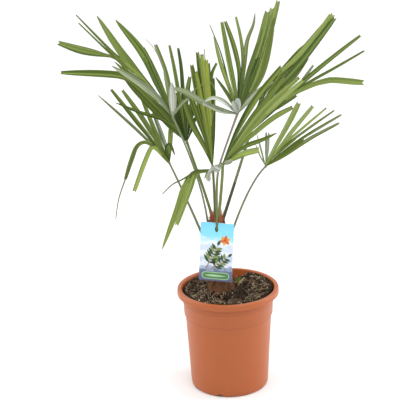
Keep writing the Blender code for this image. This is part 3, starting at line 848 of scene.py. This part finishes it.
def add_blade(build, start, axes, own, joined, fold, seed):
    """A thin blade folded along its midrib, with a keel below and a frayed or pointed tip."""
    chance = random.Random(seed)
    ease = CRISP_EASE if own["shape"] in CRISP_SHAPES else 1.0
    route = blade_route(start, axes, own["legs"], ease)
    _, edge_tone, rib_tone, other_side = TONES[own["tone"]]
    strips = strip_tones(own["tone"], chance)
    # The lower part near the hub takes a darker tone as painted shade: the blade's edge tone, unless it has
    # its own low tone
    low_tone, low_to = own["low"] or (edge_tone, SHADED_TO)
    low_strips = strip_tones(low_tone, chance)
    low_ends = [low_to * chance.uniform(0.7, 1.3) for _ in strips]
    # edge is the darker tone painted as shade on the blade's thin sides; rib, partly paler midrib and partly
    # painted highlight, lines the rib's underside
    edge, other, rib = f"leaf_{edge_tone}", f"leaf_{other_side}", f"leaf_{rib_tone}"
    twist = math.radians(chance.uniform(-14, 14))
    wander = chance.uniform(0, 50)
    dry_from = 1 - chance.uniform(0.0, 0.0045) / route_length(route) - 0.004
    if own["shape"] == "wedge":
        dry_from = 1.0
    rings = blade_rings(build, route, axes[2], own, joined, fold, twist, wander)
    last = len(ACROSS) - 1
    for (share, upper, lower), (_, upper_on, lower_on) in zip(rings, rings[1:]):
        dry = share >= dry_from
        for i in range(last):
            at_rib = abs(ACROSS[i] + ACROSS[i + 1]) < 0.26
            top = "leaf_dry" if dry else low_strips[i] if share < low_ends[i] else strips[i]
            under = "leaf_dry" if dry else rib if at_rib else other
            build.face((upper[i], upper[i + 1], upper_on[i + 1], upper_on[i]), top)
            build.face((lower[i], lower_on[i], lower_on[i + 1], lower[i + 1]), under)
        build.face((upper[0], upper_on[0], lower_on[0], lower[0]), edge)
        build.face((upper[last], lower[last], lower_on[last], upper_on[last]), edge)
    for (_, upper, lower), turn in ((rings[0], 1), (rings[-1], -1)):
        for i in range(last):
            build.face((upper[i], lower[i], lower[i + 1], upper[i + 1])[::turn], edge)


def add_knob(build, centre, radius, material):
    """A small lumpy ball at the point where blades meet."""
    rows, steps = 6, 10
    rings = []
    for row in range(1, rows):
        ring = []
        for k in range(steps):
            out = outward(math.pi * row / rows, k * math.tau / steps)
            lump = 1 + 0.12 * noise.noise(out * 3 + centre * 90)
            ring.append(build.point(centre + out * radius * lump))
        rings.append(ring)
    build.rings(rings, material)
    for ring, pole in ((rings[0], -1), (rings[-1], 1)):
        tip = build.point(centre + rise(pole * radius))
        for k in range(steps):
            after = (k + 1) % steps
            build.face((ring[after], ring[k], tip) if pole < 0 else (ring[k], ring[after], tip), material)


def make_fans():
    for number, (name, fan) in enumerate(FANS.items()):
        build = Build()
        hub, axes = Vector(fan["hub"]), fan_axes(fan["face"])
        add_knob(build, hub, KNOB_RADIUS, STALK_TONES[name][1])
        joined = pleats(fan["leaves"])
        for i, own in enumerate(fan["leaves"]):
            add_blade(build, hub, axes, own, joined[i], FAN_FOLD, number * 100 + i)
        nodes = [f"fan_{name}"]
        if fan["droop"]:
            nodes.append(f"fan_{name}_droop")
        build.make(f"palm_fan_{name}", "leaf", *nodes)


def make_shoot():
    build = Build()
    foot = Vector(SHOOT_FOOT)
    top = foot + Vector(SHOOT_STEM)
    axes = fan_axes((-90, 0))
    for i, own in enumerate(SHOOT_LEAVES):
        add_blade(build, top, axes, own, (None, None), SHOOT_FOLD, 900 + i)
    stem = [foot - rise(0.004), foot, foot.lerp(top, 0.5), top, top + rise(0.003)]
    tube(build, stem, [0.0021, 0.0021, 0.0018, 0.0016, 0.0009], "fibre_tan", 8)
    build.make("palm_offshoot", "leaf", "basal_shoot")


# Trunk and stalks


def trunk_centre(share):
    """The trunk's middle at a share of its height."""
    x = TRUNK_FOOT_X + (TRUNK_TOP_X - TRUNK_FOOT_X) * share
    return Vector((x, 0, TRUNK_FOOT + (TRUNK_TOP - TRUNK_FOOT) * share))


def stalk_route(name):
    """The stalk's midline from its foot to its fan's hub, and its radius at each end."""
    hub = Vector(FANS[name]["hub"])
    if name in CROWN_STALKS:
        (x, y), towards, radii = CROWN_STALKS[name]
        foot = Vector((x, y, TRUNK_TOP - CROWN_SINK))
        lead = [foot, foot + rise(CROWN_LEAD)]
    else:
        (azimuth, height), towards, radii = SIDE_STALKS[name]
        share = (height - TRUNK_FOOT) / (TRUNK_TOP - TRUNK_FOOT)
        out = around(math.radians(azimuth))
        lead = [trunk_centre(share) + out * (mix(TRUNK_RADII, share) + SIDE_SEAT)]
    towards = Vector(towards)
    route = lead[:-1]
    for i in range(STALK_POINTS):
        t = i / (STALK_POINTS - 1)
        start, bend, end = (1 - t) ** 2, 2 * t * (1 - t) * STALK_BENDS.get(name, 1.0), t ** 2
        route.append((lead[-1] * start + towards * bend + hub * end) / (start + bend + end))
    return route, radii


def make_stalks():
    """Leaf stalks: grooved on the upper side, rounded below, with small teeth on both edges."""
    for name in FANS:
        route, (foot_radius, tip_radius) = stalk_route(name)
        chance = random.Random(name)
        facing = fan_axes(FANS[name]["face"])[2]
        build = Build()
        low_tone, high_tone = STALK_TONES[name]
        rings, walked = [], 0.0
        for i, place in enumerate(route):
            share = i / (len(route) - 1)
            forward = (route[min(i + 1, len(route) - 1)] - route[max(i - 1, 0)]).normalized()
            side = forward.cross(facing).normalized()
            over = side.cross(forward)
            walked += (place - route[max(i - 1, 0)]).length
            radius = foot_radius + (tip_radius - foot_radius) * share
            radius *= 1 + 0.30 * max(0.0, share * 20 - 19)
            ring = []
            for k in range(STALK_SIDES):
                angle = k * math.tau / STALK_SIDES
                height = min(math.sin(angle), 0.45)
                if math.sin(angle) > 0.9:
                    height = 0.25
                spot = place + side * math.cos(angle) * radius * 1.08 + over * height * radius
                ring.append(build.point(spot, (k / STALK_SIDES, walked)))
            rings.append(ring)
            if 0.2 < share < 0.92:
                for edge in (-1, 1):
                    for _ in range(2):
                        root = place + side * edge * radius * 0.95 + forward * chance.uniform(-0.004, 0.004)
                        tip = root + side * edge * chance.uniform(0.0005, 0.0009) + forward * 0.0004
                        tube(build, [root, tip], [0.00035, 0.00008], high_tone, 3)
        split = len(rings) * 2 // 5
        build.rings(rings[:split + 1], low_tone)
        build.rings(rings[split:], high_tone)
        build.face(rings[0][::-1], low_tone)
        build.face(rings[-1], high_tone)
        build.make(f"palm_stalk_{name}", "stalk", f"stalk_{name}")


def bark_radius(angle, share):
    """The trunk's radius: its taper, the swelling of old leaf bases and the ridges of matted fibre."""
    radius = mix(TRUNK_RADII, share) - 0.0008 - 0.0022 * max(0.0, 1 - share / 0.35)
    radius -= max(0.0, math.cos(angle)) * (0.0050 * (1 - share) + 0.0040 * max(0.0, share - 0.88) / 0.12)
    height = share * (TRUNK_TOP - TRUNK_FOOT)
    spiral = angle * 2.5 - height * 190
    radius += 0.0012 * math.sin(spiral) - 0.0010
    place = Vector((math.cos(angle) * 2.2, math.sin(angle) * 2.2, height * 38))
    radius += 0.0016 * noise.fractal(place * 2.4, 0.7, 2.1, 4)
    return radius


def make_trunk():
    build = Build()
    steps, rows = 144, 96
    rings = []
    for row in range(rows + 1):
        share = row / rows
        centre = trunk_centre(share)
        ring = []
        for k in range(steps):
            angle = k * math.tau / steps
            spot = centre + around(angle) * bark_radius(angle, share)
            ring.append(build.point(spot, (k / steps, share)))
        rings.append(ring)
    build.rings(rings, "bark")
    build.face(rings[0][::-1], "bark")
    top = [Vector(build.points[i]) for i in rings[-1]]
    peak = [build.point(spot * 0.4 + trunk_centre(1.0) * 0.6 - rise(0.003)) for spot in top]
    build.rings([rings[-1], peak], "bark_dark")
    build.face(peak, "bark_dark")
    chance = random.Random(11)
    add_leaf_bases(build, chance)
    for _ in range(WOUND_FIBRES):
        add_wound_fibre(build, chance)
    for _ in range(CROWN_FIBRES):
        add_crown_fibre(build, chance)
    for _ in range(FOOT_FIBRES):
        add_foot_fibre(build, chance)
    build.make("palm_trunk", "trunk", "trunk", sharp=50)


def add_leaf_bases(build, chance):
    """Stubs of old leaf stalks, in a spiral up the trunk, each cut off at a slant."""
    for i in range(LEAF_BASES):
        angle = i * 2.4 + 0.5
        share = 0.30 + 0.060 * i
        out = around(angle)
        root = trunk_centre(share) + out * (bark_radius(angle, share) - 0.002)
        reach = chance.uniform(0.014, 0.022)
        route = []
        for t in (0.0, 0.35, 0.7, 1.0):
            route.append(root + rise(reach * t) + out * (0.004 * t + 0.002 * t * t))
        add_strap(build, route, out, (0.0080, 0.0060, 0.0045, 0.0036), 0.0015, "bark")


def add_strap(build, route, out, half_widths, thick, material):
    """A tapering strap, rounded on its outer side."""
    rings = []
    across = out.cross(rise(1)).normalized()
    sides = 10
    for place, half in zip(route, half_widths):
        ring = []
        for k in range(sides):
            angle = k * math.tau / sides
            depth = math.sin(angle) * thick * (1.5 if math.sin(angle) > 0 else 0.6)
            jitter = 1 + 0.15 * noise.noise(place * 300 + Vector((k, 0, 0)))
            spot = place + across * math.cos(angle) * half * jitter + out * depth
            ring.append(build.point(spot, (k / sides, place.z * 10)))
        rings.append(ring)
    build.body(rings, material)


def add_wound_fibre(build, chance):
    """A coarse hair of the leaf sheaths, wound round the trunk."""
    angle = chance.uniform(0, math.tau)
    share = chance.uniform(0.02, 0.96)
    slope = chance.choice((-1, 1)) * chance.uniform(0.3, 1.1)
    reach = chance.uniform(0.018, 0.045)
    route = []
    for t in range(7):
        travel = reach * t / 6
        high = min(max(share + math.cos(slope) * travel / (TRUNK_TOP - TRUNK_FOOT), 0.0), 1.03)
        turn = angle + math.sin(slope) * travel / 0.026
        lift = 0.0004 + 0.0016 * math.sin(math.pi * t / 6) * chance.uniform(0.4, 1.0)
        route.append(trunk_centre(high) + around(turn) * (bark_radius(turn, min(high, 1.0)) + lift))
    thick = chance.uniform(0.00020, 0.00042)
    kind = chance.choice(("fibre_red", "fibre_red", "bark_dark", "fibre_tan"))
    tube(build, route, [thick] * 6 + [thick * 0.4], kind, 4)


def add_crown_fibre(build, chance):
    """An upright shred of the sheaths at the crown, tall only near their tips."""
    angle = chance.uniform(0, math.tau)
    root = trunk_centre(0.95) + around(angle) * chance.uniform(0.004, 0.0175)
    if not CROWN_EDGES[0] < root.x < CROWN_EDGES[1]:
        return
    lean = around(angle + chance.uniform(-0.8, 0.8)) * chance.uniform(0.0, 0.004)
    tall = min(abs(root.x - spot) for spot in SHEATH_TIPS) < 0.005
    reach = chance.uniform(0.018, 0.034) if tall else chance.uniform(0.006, 0.016)
    route = [root + rise(reach * t) + lean * t * t for t in (0.0, 0.35, 0.7, 1.0)]
    thick = chance.uniform(0.00035, 0.00085)
    kind = chance.choice(("fibre_pink", "fibre_pink", "fibre_pink", "fibre_tan"))
    tube(build, route, [thick, thick, thick * 0.8, thick * 0.3], kind, 4)


def add_foot_fibre(build, chance):
    """A hair that spills from the trunk's foot over the compost."""
    angle = chance.uniform(0, math.tau)
    out = around(angle)
    start = trunk_centre(0.0) + out * (bark_radius(angle, 0.06) - 0.001)
    start += rise(chance.uniform(0.009, 0.016))
    reach = chance.uniform(0.003, 0.009)
    bend = around(angle + math.pi / 2) * chance.uniform(-0.005, 0.005)
    route = []
    for t in (0.0, 0.3, 0.6, 0.85, 1.0):
        place = start + out * reach * t + bend * t * t
        floor = bed_height(place.x, place.y) + 0.001
        place.z = max(floor, start.z - 0.008 * t * t)
        route.append(place)
    thick = chance.uniform(0.00025, 0.00050)
    tube(build, route, [thick] * 4 + [thick * 0.4], chance.choice(("fibre_red", "bark_dark", "bark")), 4)


# Pot and compost


def pot_profile():
    """(radius, height) down the inner wall, over the rim and down the outer side, with mould rings."""
    profile = [
        (BASE_RADIUS - WALL, FLOOR),
        (BODY_TOP_RADIUS - WALL, STEP_FOOT),
        (COLLAR_FOOT_RADIUS - WALL, COLLAR_FOOT),
        (COLLAR_TOP_RADIUS - WALL, LIP_FOOT),
        (RIM_MOUTH_RADIUS - 0.0002, POT_HEIGHT - 0.004),
        *arc(RIM_MOUTH_RADIUS + ROUND_IN, POT_HEIGHT - ROUND_IN, ROUND_IN, 2, 1, 5),
        *arc(RIM_RADIUS - 0.0004 - ROUND_OUT, POT_HEIGHT - ROUND_OUT, ROUND_OUT, 1, 0, 6),
        (RIM_RADIUS, LIP_FOOT + 0.0030),
        *arc(RIM_RADIUS - ROUND_LIP, LIP_FOOT + ROUND_LIP, ROUND_LIP, 0, -1, 4),
        (COLLAR_TOP_RADIUS + 0.0016, LIP_FOOT),
        (COLLAR_TOP_RADIUS + 0.0005, LIP_FOOT - 0.0004),
        (COLLAR_TOP_RADIUS, LIP_FOOT - 0.0016),
    ]
    for height in MOULD_RINGS:
        share = (height - COLLAR_FOOT) / (LIP_FOOT - COLLAR_FOOT)
        base = COLLAR_FOOT_RADIUS + (COLLAR_TOP_RADIUS - COLLAR_FOOT_RADIUS) * share
        profile += [(base, height + 0.0008), (base + 0.0003, height), (base, height - 0.0008)]
    groove = COLLAR_FOOT_RADIUS - GROOVE_DEPTH
    profile += [(COLLAR_FOOT_RADIUS, COLLAR_FOOT + 0.0006), (COLLAR_FOOT_RADIUS - 0.0002, COLLAR_FOOT)]
    profile += [(groove, COLLAR_FOOT - 0.0002), (groove, COLLAR_FOOT - 0.0014)]
    profile += [(BODY_TOP_RADIUS + 0.0012, COLLAR_FOOT - 0.0024), (BODY_TOP_RADIUS, STEP_FOOT - 0.0012)]
    for k in range(1, 14):
        height = STEP_FOOT * (1 - k / 14)
        profile.append((BASE_RADIUS + (BODY_TOP_RADIUS - BASE_RADIUS) * height / STEP_FOOT, height))
    profile += [(BASE_RADIUS, 0.0062), (BASE_RADIUS - 0.0004, 0.0035), (BASE_RADIUS - 0.0016, 0.0014)]
    profile += [(BASE_RADIUS - 0.0036, 0.0), (BASE_RADIUS - 0.0100, 0.0)]
    return profile


def make_pot():
    build = Build()
    rings = []
    for radius, height in pot_profile():
        ring = []
        for k in range(POT_STEPS):
            spot = around(k * math.tau / POT_STEPS) * radius + rise(height)
            ring.append(build.point(spot, (k / POT_STEPS, height)))
        rings.append(ring[::-1])
    build.rings(rings, "pot_plastic")
    build.face(rings[0], "pot_plastic")
    build.face(rings[-1][::-1], "pot_plastic")
    pot = build.make("pot_shell", "pot", "pot", sharp=60)
    tool = notch_cutters()
    cut = pot.modifiers.new("Drain notches", "BOOLEAN")
    cut.operation = "DIFFERENCE"
    cut.solver = "EXACT"
    cut.object = tool
    graph = bpy.context.evaluated_depsgraph_get()
    carved = bpy.data.meshes.new_from_object(pot.evaluated_get(graph))
    pot.modifiers.clear()
    pot.data = carved
    bpy.data.objects.remove(tool)


def notch_cutters():
    """Arched blocks round the pot's foot, in the shape of its drain notches; their near-black faces stay
    inside each notch after the cut as painted shade.
    """
    build = Build()
    for i in range(NOTCHES):
        angle = FIRST_NOTCH + i * math.tau / NOTCHES
        out, across = around(angle), around(angle + math.pi / 2)
        rings = []
        for reach in (BASE_RADIUS - 0.012, BASE_RADIUS + 0.012):
            ring = []
            for k in range(9):
                turn = math.pi * k / 8
                spot = out * reach + across * NOTCH_WIDTH / 2 * math.cos(turn)
                ring.append(build.point(spot + rise(NOTCH_HEIGHT * math.sin(turn))))
            for edge in (-1, 1):
                ring.append(build.point(out * reach + across * edge * NOTCH_WIDTH / 2 - rise(0.003)))
            rings.append(ring)
        inner, outer = rings
        build.rings([outer, inner], "drain_painted_shade")
        build.face(inner[::-1], "drain_painted_shade")
        build.face(outer, "drain_painted_shade")
    return build.make("notch_cutters", None)


def bed_height(x, y):
    """The compost's surface: lumpy, heaped at the wall and at the trunk, with a dip at the back."""
    azimuth = math.atan2(y, x)
    rim = min(max((math.hypot(x, y) - HEAP_FROM) / (COMPOST_RADIUS - HEAP_FROM), 0.0), 1.0)
    away = abs((azimuth - DIP_AT + math.pi) % math.tau - math.pi)
    dip = max(0.0, 1 - away / DIP_SPREAD) ** 0.5
    high = COMPOST_TOP + rim * (WALL_HEAP - (WALL_HEAP + BACK_DIP) * dip)
    high += RIGHT_HEAP * rim * max(0.0, math.cos(azimuth - RIGHT_HEAP_AT))
    near = math.hypot(x - TRUNK_FOOT_X, y)
    high += FOOT_HEAP * min(max((FOOT_HEAP_REACH - near) / FOOT_HEAP_SLOPE, 0.0), 1.0)
    lumps = noise.fractal(Vector((x * 75, y * 75, 0.3)), 0.7, 2.0, 4)
    pits = max(0.0, noise.noise(Vector((x * 150, y * 150, 7.0))) - 0.18)
    return high + 0.0022 * lumps - 0.006 * pits - 0.0008


def make_compost():
    build = Build()
    chance = random.Random(5)
    steps, rows = 200, 64
    rings = []
    for row in range(rows + 1):
        radius = COMPOST_RADIUS * (0.02 + 0.98 * row / rows)
        ring = []
        for k in range(steps):
            spot = around(k * math.tau / steps) * radius
            spot.z = bed_height(spot.x, spot.y)
            ring.append(build.point(spot))
        rings.append(ring)
    foot_radius = BASE_RADIUS - WALL - 0.0005
    foot = []
    for k in range(steps):
        foot.append(build.point(around(k * math.tau / steps) * foot_radius + rise(FLOOR + 0.0003)))
    build.face(rings[0], "compost_bed")
    build.rings(rings[::-1], "compost_bed")
    build.rings([foot, rings[-1]], "compost_bed")
    build.face(foot[::-1], "compost_bed")
    build.make("compost_bed", "compost", "compost", sharp=60)
    crumbs = Build()
    for _ in range(CRUMB_COUNT):
        add_crumb(crumbs, chance)
    crumbs.make("compost_crumbs", "compost", "compost", sharp=60)
    roots = Build()
    for _ in range(ROOT_COUNT):
        add_root(roots, chance)
    roots.make("compost_roots", "compost", "compost", sharp=60)


def scattered(chance, inner, outer):
    """A level place between two radii, evenly by area."""
    angle = chance.uniform(0, math.tau)
    radius = math.sqrt(chance.uniform(inner ** 2, outer ** 2))
    return around(angle) * radius


def bare(spot):
    """Whether the compost lies dark there, with few roots and no pale crumbs."""
    darker = max(0.0, 1 - min((spot - patch).length for patch in DARK_PATCHES) / PATCH_REACH)
    paler = max(0.0, 1 - (spot - PALE_PATCH).length / PATCH_REACH)
    return noise.noise(Vector((spot.x * 34, spot.y * 34, 4.6))) > 0.12 + 0.45 * (paler - darker)


def add_crumb(build, chance):
    """A lumpy crumb, set a little into the compost."""
    spot = scattered(chance, 0.018, COMPOST_RADIUS - 0.003)
    size = chance.uniform(0.0006, 0.0024) * chance.uniform(0.4, 1.0)
    spot.z = bed_height(spot.x, spot.y) + size * 0.3
    kind = chance.choice(CRUMBS)
    if bare(spot) and kind in ("crumb_tan", "crumb_pale"):
        kind = "crumb_brown"
    stretch = Vector((chance.uniform(0.7, 1.5), chance.uniform(0.7, 1.3), chance.uniform(0.5, 0.9)))
    seed = Vector((chance.uniform(0, 99), 0, 0))
    rings = []
    for polar in (0.5, 1.15, 1.85, 2.6):
        ring = []
        for k in range(6):
            out = outward(polar, k * math.tau / 6 + polar)
            grow = 1 + 0.45 * noise.noise(out * 1.7 + seed)
            ring.append(build.point(spot + out * stretch * size * grow))
        rings.append(ring)
    build.body(rings, kind)


def add_root(build, chance):
    """A curly thread of root or coir that lies on the compost and arches over its crumbs."""
    spot = scattered(chance, 0.034, COMPOST_RADIUS - 0.005)
    turn = chance.uniform(0, math.tau)
    curl = chance.uniform(-0.34, 0.34)
    step = chance.uniform(0.0007, 0.0028)
    lift = chance.uniform(0.0006, 0.0048)
    route = []
    for i in range(ROOT_POINTS):
        if math.hypot(spot.x, spot.y) > COMPOST_RADIUS - 0.003:
            break
        high = bed_height(spot.x, spot.y) + lift * math.sin(math.pi * i / (ROOT_POINTS - 1)) + 0.0003
        route.append(Vector((spot.x, spot.y, high)))
        turn += curl + chance.uniform(-0.45, 0.45)
        spot = spot + around(turn) * step
    if len(route) < 3 or (bare(route[0]) and chance.random() < 0.7):
        return
    thick = chance.uniform(0.00018, 0.00048)
    tube(build, route, [thick] * (len(route) - 1) + [thick * 0.5], chance.choice(ROOTS), 4)


# Label card


def card_place():
    place = Matrix.Translation(CARD_FOOT) @ Matrix.Rotation(CARD_TURN, 4, "Z")
    return place @ Matrix.Rotation(CARD_LEAN, 4, "X") @ Matrix.Rotation(CARD_ROLL, 4, "Y")


class Card(Build):
    """The card's mesh, drawn flat as (x, z) from the middle of its foot and set in its place."""

    def ring(self, points, depth):
        width, _, height = CARD_SIZE
        place = card_place()
        made = []
        for point in points:
            grain = (0.5 + point.x / width, point.z / height)
            made.append(self.point(place @ (point + Vector((0, depth, 0))), grain))
        return made

    def motif(self, points, ink, proud):
        """A flat shape printed on the front."""
        front = -CARD_SIZE[1] / 2
        self.face(self.ring([Vector((x, 0, z)) for x, z in points], front - proud), f"ink_{ink}")

    def leaf(self, foot, tip, belly, ink, proud):
        """A pointed leaf or petal from its foot to its tip."""
        line = tip - foot
        over = Vector((line.z, 0, -line.x)).normalized() * belly
        left = [foot + line * t + over * math.sin(math.pi * t ** 0.8) for t in (0.0, 0.2, 0.4, 0.6, 0.8)]
        right = [foot + line * t - over * math.sin(math.pi * t ** 0.8) for t in (1.0, 0.8, 0.6, 0.4, 0.2)]
        self.motif([(p.x, p.z) for p in left + right], ink, proud)

    def bough(self, foot, tip, pairs, reach, belly):
        """A leafy bough: a thin stem with leaves in pairs and one at its tip."""
        line = tip - foot
        over = Vector((line.z, 0, -line.x)).normalized()
        thin = over * 0.0011
        stem = (foot - thin, foot + thin, tip + thin * 0.4, tip - thin * 0.4)
        self.motif([(p.x, p.z) for p in stem], "tan", 0.00006)
        for i in range(pairs):
            t = 0.25 + 0.70 * i / pairs
            root = foot + line * t
            for flip in (-1, 1):
                out = (line.normalized() * 0.7 + over * flip).normalized() * reach * (1.1 - 0.5 * t)
                ink = "lime" if (i + flip) % 3 == 0 else "green"
                self.leaf(root, root + out, belly, ink, 0.00008 + 0.00001 * i)
        self.leaf(tip, tip + line.normalized() * reach * 0.6, belly, "green", 0.00010)

    def pill(self, half, low, high, ink, proud):
        """A band across the card with round ends."""
        bend = (high - low) / 2
        right = arc(half - bend, low + bend, bend, -1, 1, 8)
        left = arc(bend - half, low + bend, bend, 1, 3, 8)
        self.motif(right + left, ink, proud)


def card_edges():
    """The card's rounded outline and the oval slot near its top, with as many points each."""
    width, _, height = CARD_SIZE
    outline = []
    for side, top, start in ((1, 1, 0), (-1, 1, 1), (-1, 0, 2), (1, 0, 3)):
        middle = Vector((side * (width / 2 - CARD_CORNER), 0, height - CARD_CORNER if top else CARD_CORNER))
        for k in range(6):
            angle = (start + k / 5) * math.pi / 2
            outline.append(middle + Vector((math.cos(angle), 0, math.sin(angle))) * CARD_CORNER)
    slot_width, slot_height = SLOT_SIZE
    hole = []
    for i in range(len(outline)):
        angle = (i + 0.5) * math.tau / len(outline)
        x = SLOT_SHIFT + math.cos(angle) * slot_width / 2
        hole.append(Vector((x, 0, height - SLOT_BELOW_TOP + math.sin(angle) * slot_height / 2)))
    return outline, hole


def make_card():
    card = Card()
    outline, hole = card_edges()
    half = CARD_SIZE[1] / 2
    front, front_hole = card.ring(outline, -half), card.ring(hole, -half)
    back, back_hole = card.ring(outline, half), card.ring(hole, half)
    card.rings([front_hole, front], "card_print")
    card.rings([front, back], "card_paper")
    card.rings([back, back_hole], "card_paper")
    card.rings([back_hole, front_hole], "card_paper")
    card.bough(Vector((-0.020, 0, 0.026)), Vector((0.002, 0, 0.076)), 6, 0.022, 0.0032)
    card.bough(Vector((-0.012, 0, 0.024)), Vector((0.024, 0, 0.054)), 5, 0.019, 0.0029)
    heart = Vector((0.017, 0, 0.088))
    for k in range(6):
        angle = k * math.tau / 6 + 0.3
        petal = heart + Vector((math.cos(angle), 0, math.sin(angle))) * 0.0115
        card.leaf(heart, petal, 0.0036, "orange" if k % 2 else "amber", 0.00008 + 0.00001 * (k % 2))
    card.motif(arc(heart.x, heart.z, 0.0026, 0, 4, 20)[:-1], "red", 0.00011)
    card.pill(0.0285, 0.0040, 0.0190, "mint", 0.00005)
    card.pill(0.0268, 0.0056, 0.0174, "moss", 0.00007)
    card.leaf(Vector((-0.023, 0, 0.0115)), Vector((0.023, 0, 0.0115)), 0.0026, "mint", 0.00010)
    card.make("picture_card", "card", "label_card", sharp=30)


# Studio


def make_studio():
    """A wide pale floor, an even sky, three softboxes and the camera."""
    build = Build()
    reach = 40.0
    corners = [build.point((x * reach, y * reach, -0.0002)) for x, y in ((-1, -1), (1, -1), (1, 1), (-1, 1))]
    build.face(corners, "floor_white")
    build.make("studio_floor", None)
    world = bpy.data.worlds.new("studio")
    world.use_nodes = True
    bpy.context.scene.world = world
    tree = world.node_tree
    sky = tree.nodes["Background"]
    sky.inputs["Color"].default_value = (1.0, 1.0, 1.0, 1.0)
    coords = node(tree, "TexCoord")
    parts = node(tree, "SeparateXYZ")
    wire(coords, "Generated", parts, "Vector")
    level = node(tree, "MapRange", From_Min=0.0, From_Max=1.0, To_Min=HORIZON, To_Max=ZENITH)
    wire(parts, "Z", level, "Value")
    wire(level, "Result", sky, "Strength")
    for name, (place, size, watts) in SOFTBOXES.items():
        lamp = bpy.data.lights.new(name, "AREA")
        lamp.shape = "DISK"
        lamp.size = size
        lamp.energy = watts
        softbox = bpy.data.objects.new(name, lamp)
        softbox.location = place
        aim = rise(0.35) - softbox.location
        softbox.rotation_euler = aim.to_track_quat("-Z", "Y").to_euler()
        softbox.visible_camera = False
        bpy.context.scene.collection.objects.link(softbox)
    bpy.context.scene.view_settings.view_transform = "Standard"
    camera = bpy.data.objects.new("camera", bpy.data.cameras.new("camera"))
    camera.data.lens = LENS
    camera.data.sensor_width = 36
    camera.data.clip_end = 200
    turn = Matrix.Rotation(CAMERA_TILT, 4, "X") @ Matrix.Rotation(CAMERA_ROLL, 4, "Z")
    camera.matrix_world = Matrix.Translation(CAMERA_PLACE) @ turn
    bpy.context.scene.collection.objects.link(camera)
    bpy.context.scene.camera = camera


make_materials()
make_studio()
make_pot()
make_compost()
make_trunk()
make_stalks()
make_fans()
make_shoot()
make_card()
